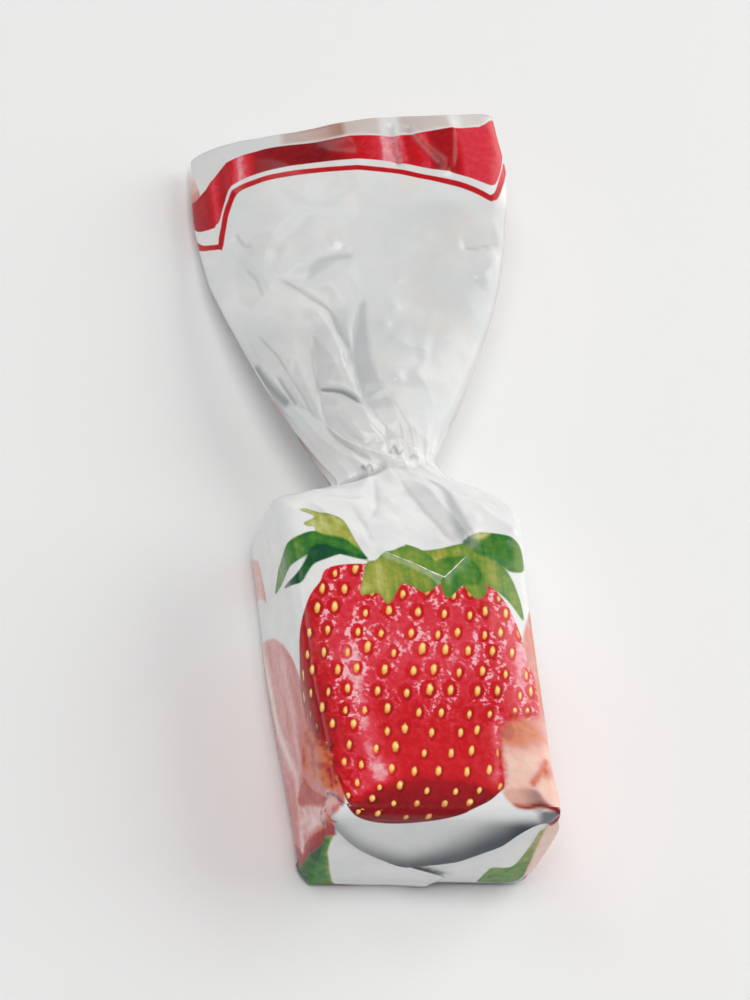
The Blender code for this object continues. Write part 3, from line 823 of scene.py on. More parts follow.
def leaf_inks(s, y):
    """The leaves, each laid over those before it, its tone running across it and darker at its rim."""
    leaf = np.full(s.shape, -OUTSIDE)
    leaf_tone = np.full(s.shape, 0.5)
    for outline, left_tone, right_tone in LEAVES:
        inside = inside_distance(s, y, outline)
        low, high = min(p[0] for p in outline), max(p[0] for p in outline)
        own = toward(left_tone, right_tone, np.clip((s - low) / (high - low), 0.0, 1.0))
        own = own - 0.16 * np.exp(-np.abs(inside) / 0.45)
        leaf_tone = toward(leaf_tone, own, ease(inside, -0.22, 0.22))
        leaf = np.maximum(leaf, inside)
    return {"leaf": leaf, "leaf_tone": leaf_tone}


def left_fruit_tone(s, y, mark):
    """The left side's fruit: rose flesh with pale streaks, the main one a painted highlight, then its zones,
    and a pink mark above it.
    """
    tone = 0.52 + 0.14 * ease(-s, 15.0, 24.0) * ease(y, 6.0, 14.0) + 0.05 * facets(s, 0.3 * y, 1.7, 21.0)
    tone += 0.30 * streak(s, y, SIDE_HIGHLIGHT_STREAK, 0.8)
    tone += 0.14 * streak(s, y, ((-19.6, 21.0), (-19.0, 15.0), (-20.4, 9.0)), 1.0)
    tone = toward(tone, 0.80 - 0.16 * streak(s, y, ((-22.9, 36.0), (-23.2, 31.0)), 0.8), mark > -0.3)
    for outline, zone_tone, grain, soft in SIDE_ZONES:
        ragged = inside_distance(s, y, outline) + 0.7 * soft * facets(s, y, 1.1, 22.0)
        tone = toward(tone, zone_tone + grain * facets(s, y, 0.9, 23.0), ease(ragged, -soft, soft))
    return tone


def right_fruit_inks(s, y, corner):
    """The right side's fruit: pale flesh by the berry, an orange patch, an ember spot, a dark lower rim.

    Round the edge it is halved flesh with streaks.  The last two answers are the peach wash and the
    dark tip at the corner.
    """
    patch = np.clip(1.5 * blot(s, y, (9.2, 9.8), (3.2, 1.7)), 0.0, 1.0)
    upper = ease(y, 10.5, 13.0)
    far_side = ease(s, 13.0, 15.4)
    tail = streak(s, y, ((12.0, 6.6), (11.0, 5.2), (9.9, 3.9)), 0.45)
    ember = np.maximum(blot(s, y, (11.7, 5.5), (0.9, 1.0)), 0.9 * tail)
    rim = streak(s, y, ((7.4, 1.1), (8.9, 0.95), (10.4, 1.4), (11.7, 0.9), (12.4, 0.3)), 0.30)
    tip = covered(s, y, CORNER_TIP, -0.15, 0.15)
    halved = 0.58 + 0.12 * facets(s, 0.3 * y, 1.7, 28.0)
    halved += 0.28 * streak(s, y, ((20.6, 27.0), (20.0, 18.0), (21.0, 8.0), (20.4, -1.0)), 1.4)
    halved += 0.12 * streak(s, y, ((25.4, 24.0), (25.0, 14.0), (26.0, 3.0)), 1.0)

    tone = 0.86 + 0.07 * facets(s, y, 1.0, 24.0) + 0.06 * blot(s, y, (9.6, 6.0), (2.4, 2.4))
    tone = toward(tone, 0.37 - 0.12 * ease(-s, -9.0, -7.6) + 0.13 * facets(s, y, 0.7, 25.0), patch)
    tone -= upper * (0.36 + 0.10 * facets(s, 0.5 * y, 0.8, 27.0))
    tone = toward(tone, halved, far_side)
    tone = toward(tone, 0.27, ember)
    tone = toward(tone, 0.70, corner)
    tone = toward(tone, 0.0, np.maximum(rim, tip))
    peach = 0.55 * ease(s, 0.0, 1.0) * ease(y, 0.3, 1.5) * (1.0 - far_side)
    peach *= (1.0 - 0.9 * ember) * (1.0 - 0.45 * patch) * (1.0 - 0.5 * upper)
    return tone, peach * (1.0 - np.clip(np.maximum(1.3 * rim, tip), 0.0, 1.0)), tip


def body_print(s, y):
    """Inks on the block and its shoulders, from the place (s, y) on the film, with painted shade and
    highlights.
    """
    inks = {**berry_inks(s, y), **leaf_inks(s, y)}
    corner = covered(s, y, CORNER_SHADE, -0.3, 0.3)
    mark = inside_distance(s, y, SIDE_MARK)
    right_tone, inks["peach"], tip = right_fruit_inks(s, y, corner)
    fruits = [inside_distance(s, y, outline) for outline in (SIDE_BERRY, FAR_BERRY, CORNER_TIP)]
    inks["fruit"] = np.maximum.reduce([mark, *fruits])
    inks["fruit_tone"] = np.where(s > 0.0, right_tone, left_fruit_tone(s, y, mark))
    # A painted white highlight along the crease over the leaves.
    away, side, place = nearest_on_line(s, y, GLINT_CREASE_LINE)
    inks["crease_glint"] = -side * away / (0.12 + 0.88 * np.sin(np.pi * np.clip(place, 0.0, 1.0)) ** 0.5)
    # Painted shade on the shoulder's fold.
    inks["shade_and_greying"] = 0.80 * covered(s, y, SHOULDER_SHADE, -0.45, 0.55)
    # Painted shade in the right corner's fold, a painted dark sheen at that corner's front edge, and painted
    # shadow lines at the left corner's ear.
    shade = (0.16 + 0.42 * ease(s, 7.8, 10.4)) * corner
    corner_dark_sheen = 0.80 * ease(s, 9.2, 10.6) * (1.0 - ease(y, 0.4, 1.0)) * (1.0 - tip)
    ear_shadows = [0.75 * streak(s, y, line, 0.16) for line in EAR_SHADOW_LINES]
    inks["painted_shade"] = np.maximum.reduce([shade, corner_dark_sheen, *ear_shadows])
    return inks


FAN_PRINT_Y = 43.4
# The print round the fan's mouth: a red band, a thin line under it, and a pink blush above it at the
# left edge.  Heights run over the angle round the fan in degrees: 0 at its right edge, 90 at the middle
# of the face, 180 at its left edge and the back beyond.
BAND_ANGLE = (
    -35, -10, 4, 12, 20, 24, 26, 32, 39, 46, 62, 73, 90, 114, 125, 134, 140, 146, 149, 150.5, 152, 156,
    168, 186, 204, 230, 290, 325,
)
BAND_LOW = (
    82.6, 82.6, 82.1, 80.6, 78.4, 78, 78, 78.35, 78.9, 79.45, 80.8, 81.85, 82.7, 83, 82.8, 82.2, 80.9,
    78.3, 77.8, 77.5, 77.5, 77.5, 77.9, 79.4, 81.8, 82.6, 82.6, 82.6,
)
BAND_HIGH = (
    85.6, 85.9, 87, 86.9, 86.3, 86.05, 85.9, 85.8, 85.7, 85.65, 85.3, 85.25, 85.65, 86, 85.8, 85.4, 84.75,
    83.85, 83.5, 83.25, 83, 82.5, 81.8, 82.8, 85.2, 85.8, 85.8, 85.6,
)
LINE_HEIGHT = (
    81.2, 81.2, 80.6, 79.2, 77.05, 76.5, 76.45, 76.95, 77.6, 78.25, 79.55, 80.55, 81.5, 82.05, 81.85,
    81.27, 79.5, 76.5, 75.3, 74.9, 74.95, 75.1, 75.7, 77.3, 80.2, 81.2, 81.2, 81.2,
)
LINE_HALF_WIDTH = 0.34
MOUTH_HALF_HEIGHT = 2.7
BLUSH = (
    (160, 81.9), (163, 83.8), (168, 85.6), (176, 86.6), (200, 87), (200, 84), (186, 82.8), (172, 81.8),
)
# The band's tone with its painted highlights, and how strongly a painted tan reflection shows on the bare
# margin above it, over x.
BAND_HIGHLIGHT_TONES = (
    (-17, -15.4, -14.7, -13.6, -12.3, -11.5, -10.8, -9.6, -8, -2, 1, 4, 4.6, 6.6, 7.2, 9.5, 9.9, 12.4,
     13.2, 17),
    (0.3, 0.34, 0.7, 0.32, 0.46, 0.9, 0.72, 0.24, 0.16, 0.08, 0.4, 0.62, 0.92, 0.78, 0.4, 0.62, 0.28, 0.3,
     0.68, 0.6),
)
MARGIN_TAN_REFLECTIONS = (
    (-17, -7, -6.2, 0.2, 0.8, 4.2, 4.8, 6.6, 7, 12, 12.6, 13.4, 14, 17),
    (0.05, 0.05, 0.5, 0.95, 0.45, 0.35, 0, 0, 0.45, 0.35, 0, 0, 0.22, 0.28),
)
# Painted shade on the fan's folds and facets: lines as (points, half width, strength), and areas as (outline,
# strength).
SHADE_LINES = (
    (((-6.7, 54.9), (-5.8, 54.5), (-4.7, 54.1), (-3.9, 53.65), (-2.9, 52.8), (-2.2, 52.1)), 0.2, 1.25),
    (((-12.8, 60), (-11.7, 57.5), (-10.6, 55.4), (-9.6, 53.8)), 0.34, 1.1875),
    (((-10.6, 57.6), (-9.9, 55.8), (-9, 53.6)), 0.26, 0.875),
    (((-12.2, 63.1), (-10.9, 60.7), (-9.8, 58.2), (-9.1, 56.3), (-8.3, 54.3), (-7.7, 52.6), (-6.8, 51)),
     0.2, 0.625),
    (((-12.9, 62.5), (-12.4, 60.6), (-12, 59.2)), 0.2, 0.375),
    (((-6.7, 51), (-5.3, 48.8), (-3.8, 47), (-1.9, 45.3)), 0.3, 0.525),
    (((-0.7, 64.2), (-1.9, 60.5), (-2.6, 57.4), (-2.1, 52.6), (0, 49), (3.2, 45.6)), 0.34, 0.375),
    (((-8.9, 69.1), (-6.9, 67.3), (-5.4, 65.6), (-4, 64.1), (-3.5, 61.6), (-2.9, 59.2)), 0.26, 0.525),
    (((-6.5, 61), (-6.7, 59), (-6.8, 56.6), (-6.6, 54.9), (-6.5, 53.2), (-6.1, 51), (-5.3, 49.8),
     (-4.5, 48.7), (-2.8, 47.5)), 0.3, 0.5),
    (((-12.3, 71.3), (-11.2, 69.4), (-10.8, 67)), 0.26, 0.45),
    (((-5.5, 68.8), (-4.1, 70.4), (-1.5, 70.6), (-0.2, 70.5)), 0.4, 0.45),
    (((-7.6, 73.9), (-8.9, 71.4), (-9.2, 69.6)), 0.5, 0.2),
    (((12.6, 70.2), (14.2, 70.4), (16.2, 71.2)), 0.22, 0.375),
    (((11.4, 74.4), (12, 72.8), (11.8, 71.2)), 0.3, 0.2),
    (((-3.4, 45), (-2.9, 44.4), (-2.4, 44.8), (-2, 44)), 0.22, 1.125),
    (((-0.2, 45.4), (0.5, 46.4), (1, 45.4), (1.6, 46)), 0.2, 0.75),
    (((2, 44.6), (2.8, 44.9), (3.3, 44.3)), 0.22, 0.625),
)
SHADE_AREAS = (
    (((0.1, 64.3), (-0.4, 60.3), (-0.6, 57.3), (0.2, 53.5), (1.5, 49.9), (0, 49.3), (-2, 52.6),
     (-2.5, 57.4), (-1.8, 60.5), (-0.7, 64.2)), 0.45),
    (((-6.3, 61.6), (-5.2, 59.5), (-4.4, 57.4), (-4.1, 54.9), (-5.6, 55.1), (-6.5, 55.3), (-6.7, 56.6),
     (-6.6, 59)), 0.425),
    (((-6.5, 54.4), (-4.8, 53.6), (-4.9, 52), (-4, 50), (-2.9, 48.4), (-2.8, 47.7), (-4.5, 48.9),
     (-5.3, 50), (-6.2, 51.2), (-6.5, 53.2)), 0.375),
    (((-6.6, 67.6), (-4, 64.6), (-2.9, 61.6), (-2.4, 59.4), (-2.8, 58.8), (-3.5, 61.6), (-4.2, 63.8),
     (-5.6, 65.4)), 0.425),
    (((-13.2, 61.2), (-11.9, 58.9), (-10.9, 57.3), (-9.9, 55.2), (-9.4, 53.9), (-10.4, 54.4),
     (-11.6, 56.6), (-12.9, 58.8)), 0.375),
    (((-10.9, 58.2), (-10, 56.8), (-9.3, 55.2), (-8.9, 53.7), (-9.3, 53.9), (-10.1, 55.6), (-10.9, 57.2)),
     0.5),
    (((-5.8, 68.4), (-4.3, 70.8), (-1.2, 71), (-2.8, 69.8), (-4, 69)), 0.3),
    (((-9.5, 75.5), (-8.2, 73), (-9.2, 69.5), (-12, 66), (-13.5, 68), (-13, 73)), 0.125),
)


def fan_print(angle, y, across):
    """Inks on the fan: the band and the thin line under it, by height over the angle, with painted shade,
    highlights and reflections.
    """
    degrees = np.mod(np.degrees(angle) + 35.0, 360.0) - 35.0
    x = TAIL_HALF_WIDTH * np.cos(angle)
    front = np.sin(angle) > 0.0
    heights = (BAND_LOW, BAND_HIGH, LINE_HEIGHT)
    curves = [smooth_line(list(zip(BAND_ANGLE, height)), 6).T for height in heights]
    low, high, line = (np.interp(degrees, *curve) for curve in curves)
    radian_length = np.hypot(TAIL_HALF_WIDTH * np.sin(angle), MOUTH_HALF_HEIGHT * np.cos(angle))
    slopes = []
    for curve in curves:
        rise_per_degree = np.interp(degrees + 0.5, *curve) - np.interp(degrees - 0.5, *curve)
        slopes.append(np.hypot(1.0, rise_per_degree / (radian_length * math.radians(1.0))))
    band = np.minimum((y - low) / slopes[0], (high - y) / slopes[1])
    # Painted brownish shade along the fan's left edge, a painted peach reflection along its right edge, and a
    # painted tan reflection on the bare margin above the band.
    left_edge_shade = np.exp(-((degrees - 196.0) / 15.0) ** 2) * (1.0 - ease(y, 54.0, 58.5))
    right_edge = np.exp(-((degrees - 2.0) / 9.0) ** 2) * ease(y, 46.0, 50.0) * (1.0 - ease(y, 74.0, 77.0))
    margin_reflection = ease(y - high, 0.05, 0.35) * np.interp(x, *MARGIN_TAN_REFLECTIONS)

    # Painted shade over the fan's right half and its lower part, lighter near the top.
    painted_fan_shade = np.maximum(ease(across, 1.0, 8.0), ease(-y, -67.0, -60.0))
    painted_fan_shade *= ease(y, FAN_PRINT_Y, 48.0) * (1.0 - ease(y, 75.0, 77.0))
    painted_fan_shade *= 1.0 - 0.7 * blot(across, y, (5.0, 76.0), (4.5, 4.5))
    painted_shade = np.maximum(0.80 * left_edge_shade, front * 0.24 * painted_fan_shade)
    for points, half_width, strength in SHADE_LINES:
        away, _, place = nearest_on_line(across, y, smooth_line(points, 5))
        painted_shade = np.maximum(painted_shade, front * strength * end_fading(place, 3.0) * np.exp(-(away / half_width) ** 2))
    for outline, strength in SHADE_AREAS:
        painted_shade = np.maximum(painted_shade, front * strength * covered(across, y, outline, -0.25, 0.35))
    return {
        "red": band,
        "thin": (y - line) / slopes[2],
        "red_tone": np.where((band >= -0.4) & front, np.interp(x, *BAND_HIGHLIGHT_TONES), 0.42),
        "painted_tan": np.maximum.reduce([margin_reflection, 0.75 * left_edge_shade, 0.25 * right_edge]),
        "fruit": inside_distance(degrees, y, BLUSH),
        "fruit_tone": 0.58 + 0.10 * (y - 82.0),
        "shade_and_greying": painted_shade,
    }


# What shows of the print on the folded end under its flap, as outlines in (x, z).
GREEN_LEFT = (
    (-11.4, 11), (-11.3, 9.4), (-11.1, 7.5), (-10.5, 5.5), (-9.9, 3.5), (-9.2, 1.5), (-8.6, -0.6),
    (-15.5, -0.6), (-15.5, 7.6), (-13.4, 8.8), (-12.4, 9.8),
)
PINK_LEFT = (
    (-11.2, 11), (-11.4, 12.2), (-12, 15), (-15.5, 15.5), (-15.5, 7.4), (-13.4, 8.6), (-12.4, 9.6),
)
GREEN_RIGHT = (
    (7, 5), (8.4, 5), (9.3, 5), (9.8, 5.8), (10.1, 7.4), (10.4, 9.6), (10.6, 12.6), (11, 13.6),
    (11.5, 12), (11.5, 8), (11.4, 4), (11.2, -0.4), (7, -0.4),
)
BEIGE_RIGHT = ((11.3, 15.5), (11.5, 8), (11.4, -0.4), (13.5, -0.4), (13.5, 15.5))


def end_print(x, z):
    """Inks on the folded end under its flap, from the place (x, z) on it, with painted shade under the fold
    line across it and the right green greyed towards its top.
    """
    green, blob = inside_distance(x, z, GREEN_LEFT), inside_distance(x, z, GREEN_RIGHT)
    pink, beige = inside_distance(x, z, PINK_LEFT), inside_distance(x, z, BEIGE_RIGHT)
    left_leaf = 0.30 - 0.34 * ease(-x, 11.2, 12.8) + 0.45 * np.exp(-np.clip(green, 0.0, OUTSIDE) / 0.25)
    right_leaf = 0.40 + 0.35 * ease(z, 4.0, 9.0)
    away, side, _ = nearest_on_line(x, z, ((-2.6, 6.4), (0.0, 5.0), (2.4, 3.6)))
    return {
        "leaf": np.maximum(green, blob),
        "leaf_tone": np.where(blob > green, right_leaf, left_leaf),
        "shade_and_greying": 0.45 * ease(blob, 0.0, 0.3) * ease(z, 5.0, 9.0),
        "fruit": np.maximum(pink, beige),
        "fruit_tone": np.where(beige > pink, 0.93, 0.10 + 0.3 * blot(x, z, (-12.6, 13.5), (0.9, 1.2))),
        "peach": np.where(beige > pink, 0.45, 0.0),
        "painted_shade": np.where(side < 0, 0.55 * np.exp(-away / 0.5), 0.0),
    }


# The inks that the film's material reads, painted shade, highlights and reflections among them, with the
# value of each where nothing is printed.
INKS = {
    "red": -OUTSIDE, "thin": OUTSIDE, "red_tone": 0.5, "net": 0.0, "leaf": -OUTSIDE, "leaf_tone": 0.5,
    "fruit": -OUTSIDE, "fruit_tone": 0.5, "peach": 0.0, "painted_shade": 0.0, "painted_tan": 0.0, "crease_glint": OUTSIDE,
    "shade_and_greying": 0.0, "torn": 0.0,
}
SEED_STEP = (2.75, 2.35)
SEED_SPREAD = 17.5
BERRY_MIDDLE = -0.8


def lay_inks(mesh, places, shade=0.0):
    """Puts the print, with its painted shade, highlights and reflections, on a mesh as one attribute for each
    ink, and the seeds' own map.

    The map's axes are rows of seeds: a = arcsine(s / spread) * spread / step, so seeds crowd towards the
    berry's sides, and b = (y - rise * s squared) / step, so the rows follow its rounded tip, and close
    up below it.
    """
    s, across, y, z, angle, furrow_shade = places.T
    values = {name: np.full(s.shape, blank) for name, blank in INKS.items()}
    on_end, on_fan = y < 0.5 * ON_THE_END, (y >= FAN_PRINT_Y) & (y < IN_THE_MOUTH)
    on_body = ~on_end & (y < FAN_PRINT_Y)
    prints = (
        (on_body, body_print(s[on_body], y[on_body])),
        (on_fan, fan_print(angle[on_fan], y[on_fan], across[on_fan])),
        (on_end, end_print(across[on_end], z[on_end])),
    )
    for chosen, inks in prints:
        for name, amount in inks.items():
            values[name][chosen] = amount
    values["painted_shade"] = np.maximum(values["painted_shade"], shade)
    values["shade_and_greying"] = np.maximum(values["shade_and_greying"], furrow_shade)
    values["crease_glint"][on_end] = -OUTSIDE
    values["thin"][y < FAN_PRINT_Y] = -OUTSIDE
    for name, amount in values.items():
        layer = mesh.attributes.new(name, "FLOAT", "POINT")
        layer.data.foreach_set("value", amount.astype(np.float32))
    middle = s - BERRY_MIDDLE
    a = np.arcsin(np.clip(middle / SEED_SPREAD, -1.0, 1.0)) * SEED_SPREAD / SEED_STEP[0]
    b = (y - 0.012 * middle ** 2 * ease(-y, -16.0, -2.0)) / SEED_STEP[1]
    b -= 0.035 * np.clip(4.5 - y, 0.0, None) ** 2
    seeds = mesh.attributes.new("seed_rows", "FLOAT_VECTOR", "POINT")
    rows = np.stack([a + 0.5 * b, b, 0.0 * a], axis=-1)
    seeds.data.foreach_set("vector", rows.astype(np.float32).ravel())


def ink(red, green, blue):
    """A screen colour of 0-255 as the shader's linear colour."""
    value = np.array((red, green, blue), dtype=float) / 255.0
    linear = np.where(value <= 0.04045, value / 12.92, ((value + 0.055) / 1.055) ** 2.4)
    return tuple(float(v) for v in linear) + (1.0,)


class Recipe:
    """Short hands for laying out one material's nodes."""

    def __init__(self, name):
        """A new material with its shader."""
        self.paint = bpy.data.materials.new(name)
        self.paint.use_nodes = True
        self.tree = self.paint.node_tree
        self.shader = self.tree.nodes["Principled BSDF"]

    def feed(self, socket, value):
        """Joins a socket to a node's output, or sets its number."""
        if isinstance(value, bpy.types.NodeSocket):
            self.tree.links.new(value, socket)
        else:
            socket.default_value = value

    def node(self, kind, *values, **settings):
        """A node of the kind with its settings, its first sockets fed with the values."""
        node = self.tree.nodes.new("ShaderNode" + kind)
        for setting, value in settings.items():
            setattr(node, setting, value)
        for socket, value in zip(node.inputs, values):
            self.feed(socket, value)
        return node

    def read(self, name, output="Fac"):
        """A mesh attribute by name."""
        return self.node("Attribute", attribute_name=name).outputs[output]

    def sum(self, kind, first, second=0.0, third=0.0):
        """One arithmetic step."""
        return self.node("Math", first, second, third, operation=kind).outputs[0]

    def plus(self, first, second):
        """The two added."""
        return self.sum("ADD", first, second)

    def times(self, first, second):
        """The two multiplied."""
        return self.sum("MULTIPLY", first, second)

    def ramp(self, value, low, high, to_low=0.0, to_high=1.0, smooth=True):
        """The value carried from low..high to another range, held at both ends."""
        kind = "SMOOTHSTEP" if smooth else "LINEAR"
        return self.node("MapRange", value, low, high, to_low, to_high, interpolation_type=kind).outputs[0]

    def colours(self, value, stops):
        """A colour that runs through the stops of (place, colour)."""
        node = self.node("ValToRGB", value)
        steps = node.color_ramp.elements
        while len(steps) < len(stops):
            steps.new(0.5)
        for step, (place, colour) in zip(steps, stops):
            step.position, step.color = place, colour
        return node.outputs[0]

    def over(self, cover, below, above):
        """One colour laid over another by a cover of 0..1."""
        node = self.node("Mix", cover, data_type="RGBA")
        self.feed(node.inputs[6], below)
        self.feed(node.inputs[7], above)
        return node.outputs[2]

    def place(self, stretch=(1.0, 1.0, 1.0)):
        """Object coordinates in millimetres, stretched."""
        where = self.node("TexCoord").outputs["Object"]
        return self.node("VectorMath", where, [v / MM for v in stretch], operation="MULTIPLY").outputs[0]

    def split(self, vector):
        """A vector's three numbers."""
        return self.node("SeparateXYZ", vector).outputs

    def noise(self, place, scale, detail=2.0, roughness=0.5):
        """Cloudy noise around 0.5."""
        node = self.node("TexNoise", place)
        node.inputs["Scale"].default_value = scale
        node.inputs["Detail"].default_value = detail
        node.inputs["Roughness"].default_value = roughness
        return node.outputs["Fac"]

    def bump(self, height, depth):
        """Fine relief of the given depth in metres."""
        node = self.node("Bump")
        node.inputs["Strength"].default_value = 1.0
        node.inputs["Distance"].default_value = depth
        self.feed(node.inputs["Height"], height)
        self.feed(self.shader.inputs["Normal"], node.outputs[0])


WHITE_FILM = ink(236, 236, 234)
WHITE_SHADE = ink(230, 231, 231)
FAN_FILM = ink(236, 237, 235)
FAN_WARM = ink(233, 229, 225)
FAN_COOL = ink(226, 229, 229)
PAINTED_SHADE_INK = ink(40, 54, 64)
PAINTED_TAN_INK = ink(178, 128, 110)
GLINT_WHITE = ink(244, 244, 240)
SHADE_AND_GREYING_INK = ink(112, 120, 122)
PEACH = ink(244, 188, 162)
RED_INKS = (
    (0.0, ink(112, 10, 20)), (0.25, ink(162, 14, 24)), (0.5, ink(208, 18, 30)), (0.75, ink(226, 66, 84)),
    (1.0, ink(246, 184, 192)),
)
LEAF_INKS = (
    (0.0, ink(14, 78, 44)), (0.3, ink(58, 124, 46)), (0.55, ink(112, 146, 54)), (0.75, ink(166, 166, 70)),
    (1.0, ink(192, 204, 128)),
)
FRUIT_INKS = (
    (0.0, ink(142, 18, 46)), (0.2, ink(182, 34, 34)), (0.38, ink(214, 106, 52)), (0.55, ink(206, 122, 122)),
    (0.78, ink(232, 186, 180)), (1.0, ink(244, 234, 228)),
)
SEED_INKS = (
    (0.0, ink(212, 104, 40)), (0.4, ink(246, 178, 88)), (0.75, ink(255, 220, 132)), (1.0, ink(255, 244, 190)),
)
SEED_SIZE = (0.31, 0.57)
SEED_RIM_SIZE = (0.50, 0.80)
SEED_DIP_SIZE = (0.92, 1.22)
SEED_LEAN = 0.22
SEED_SCATTER = 0.32
FILM_IOR = 1.42
FILM_ROUGHNESS = (0.20, 0.26)
COAT_WEIGHT = 0.15
COAT_ROUGHNESS = 0.14
CRINKLE_DEPTH = 0.03 * MM


def bare_film(film, spot):
    """White film, mottled a little, cooler and warmer in clouds over the fan, with a painted tan reflection
    on the bare margin and the fan's right edge, and painted brownish shade along its left edge.
    """
    mottle = film.ramp(film.noise(spot, 0.35, 3.0), 0.35, 0.65)
    clouds = film.ramp(film.noise(spot, 0.14, 3.0, 0.5), 0.36, 0.66)
    body = film.over(mottle, WHITE_FILM, WHITE_SHADE)
    fan = film.over(clouds, film.over(mottle, FAN_FILM, FAN_WARM), FAN_COOL)
    colour = film.over(film.ramp(film.split(spot)[1], -1.0, 8.0), body, fan)
    return film.over(film.read("painted_tan"), colour, PAINTED_TAN_INK)


def fruit_over(film, colour, spot, streaks):
    """The cut fruit: its tone with streaks and speckles, washed with peach."""
    tone = film.plus(film.read("fruit_tone"), film.ramp(streaks, 0.3, 0.7, -0.03, 0.04))
    tone = film.plus(tone, film.ramp(film.noise(spot, 1.2, 4.0, 0.7), 0.3, 0.7, -0.05, 0.05))
    fruit = film.over(film.read("peach"), film.colours(tone, FRUIT_INKS), PEACH)
    return film.over(film.ramp(film.read("fruit"), -0.25, 0.25), colour, fruit)


def red_over(film, colour, spot, fine):
    """The berry with its seeds, the band and the thin line.

    Each seed is an oval in its cell of the seeds' map, with a shadowed rim in a dip, and the skin
    between the dips shines in a broken net.
    """
    rows = film.read("seed_rows", "Vector")
    cells = film.node("TexVoronoi", rows, voronoi_dimensions="2D")
    cells.inputs["Scale"].default_value = 1.0
    cells.inputs["Randomness"].default_value = SEED_SCATTER
    apart = film.node("VectorMath", rows, cells.outputs["Position"], operation="SUBTRACT")
    apart = film.split(apart.outputs[0])
    down = film.times(apart[1], SEED_STEP[1])
    across = film.sum("MULTIPLY_ADD", apart[1], -0.5, apart[0])
    across = film.sum("MULTIPLY_ADD", across, SEED_STEP[0], film.times(down, -SEED_LEAN))
    growth = film.ramp(cells.outputs["Color"], 0.0, 1.0, 0.76, 1.20, smooth=False)
    wobble = film.ramp(film.noise(spot, 1.9, 2.0, 0.6), 0.3, 0.7, -0.16, 0.16, smooth=False)

    def oval(shift, size):
        """1 at the rim of an oval about the seed, less inside it."""
        x = film.sum("DIVIDE", film.plus(across, shift[0]), size[0])
        y = film.sum("DIVIDE", film.plus(down, shift[1]), size[1])
        reach = film.sum("SQRT", film.plus(film.times(x, x), film.times(y, y)))
        return film.plus(film.sum("DIVIDE", reach, growth), wobble)

    seed_reach = oval((0.0, 0.0), SEED_SIZE)
    rim = film.ramp(oval((-0.14, 0.14), SEED_RIM_SIZE), 1.3, 0.7)
    dip = oval((0.12, -0.10), SEED_DIP_SIZE)
    speckle = film.ramp(film.noise(spot, 2.3, 2.0, 0.55), 0.34, 0.74)
    glow = film.ramp(film.noise(film.place((1.0, 0.55, 1.0)), 0.55, 2.0, 0.5), 0.36, 0.64, 0.10, 1.0)
    ring = film.times(film.ramp(dip, 0.78, 1.05), film.ramp(dip, 2.0, 1.25, 0.25, 1.0))
    net = film.times(film.times(ring, film.read("net")), film.times(speckle, glow))
    shadow = film.times(film.times(rim, film.ramp(film.read("net"), 0.0, 0.05)), 0.16)
    hollow = film.times(film.times(film.ramp(dip, 1.05, 0.7), film.read("net")), 0.10)
    tone = film.plus(film.read("red_tone"), film.times(net, 0.75))
    tone = film.plus(tone, film.ramp(fine, 0.3, 0.7, -0.05, 0.05))
    tone = film.sum("SUBTRACT", film.sum("SUBTRACT", tone, shadow), hollow)

    lit = film.ramp(film.plus(down, across), -0.6, 0.6, 0.36, 1.0)
    seed_colour = film.colours(film.times(lit, film.ramp(seed_reach, 0.4, 1.15, 1.0, 0.25)), SEED_INKS)
    seed_cover = film.times(film.ramp(seed_reach, 1.22, 0.80), film.ramp(film.read("red"), 0.05, 0.35))
    seed_cover = film.times(seed_cover, film.ramp(film.read("net"), 0.0, 0.02, 0.0, 1.0))
    red = film.over(seed_cover, film.colours(tone, RED_INKS), seed_colour)
    ragged = film.ramp(film.noise(spot, 1.9, 3.0, 0.55), 0.3, 0.7, -0.08, 0.08, smooth=False)
    ragged = film.times(ragged, film.read("torn"))
    thin = film.sum("SUBTRACT", LINE_HALF_WIDTH, film.sum("ABSOLUTE", film.read("thin")))
    block = film.sum("MAXIMUM", film.plus(film.read("red"), ragged), thin)
    return film.over(film.ramp(block, -0.08, 0.08), colour, red)


def leaves_over(film, colour, streaks, fine):
    """The leaves: their tone with streaks and fine grain."""
    tone = film.plus(film.read("leaf_tone"), film.ramp(streaks, 0.3, 0.7, -0.10, 0.12))
    tone = film.plus(tone, film.ramp(fine, 0.3, 0.7, -0.06, 0.06))
    return film.over(film.ramp(film.read("leaf"), -0.12, 0.12), colour, film.colours(tone, LEAF_INKS))


def shade_and_glint_over(film, colour, fine):
    """Painted shade on the flap and the end's corners, a painted white highlight along the crease, and
    painted shade in folds and furrows, which also greys the end's right green.
    """
    colour = film.over(film.read("painted_shade"), colour, PAINTED_SHADE_INK)
    crease_glint = film.plus(film.sum("ABSOLUTE", film.read("crease_glint")), film.ramp(fine, 0.35, 0.65, 0.06, 0.0))
    colour = film.over(film.ramp(crease_glint, 0.13, 0.04, 0.0, 0.9), colour, GLINT_WHITE)
    return film.over(film.times(film.read("shade_and_greying"), 0.62), colour, SHADE_AND_GREYING_INK)


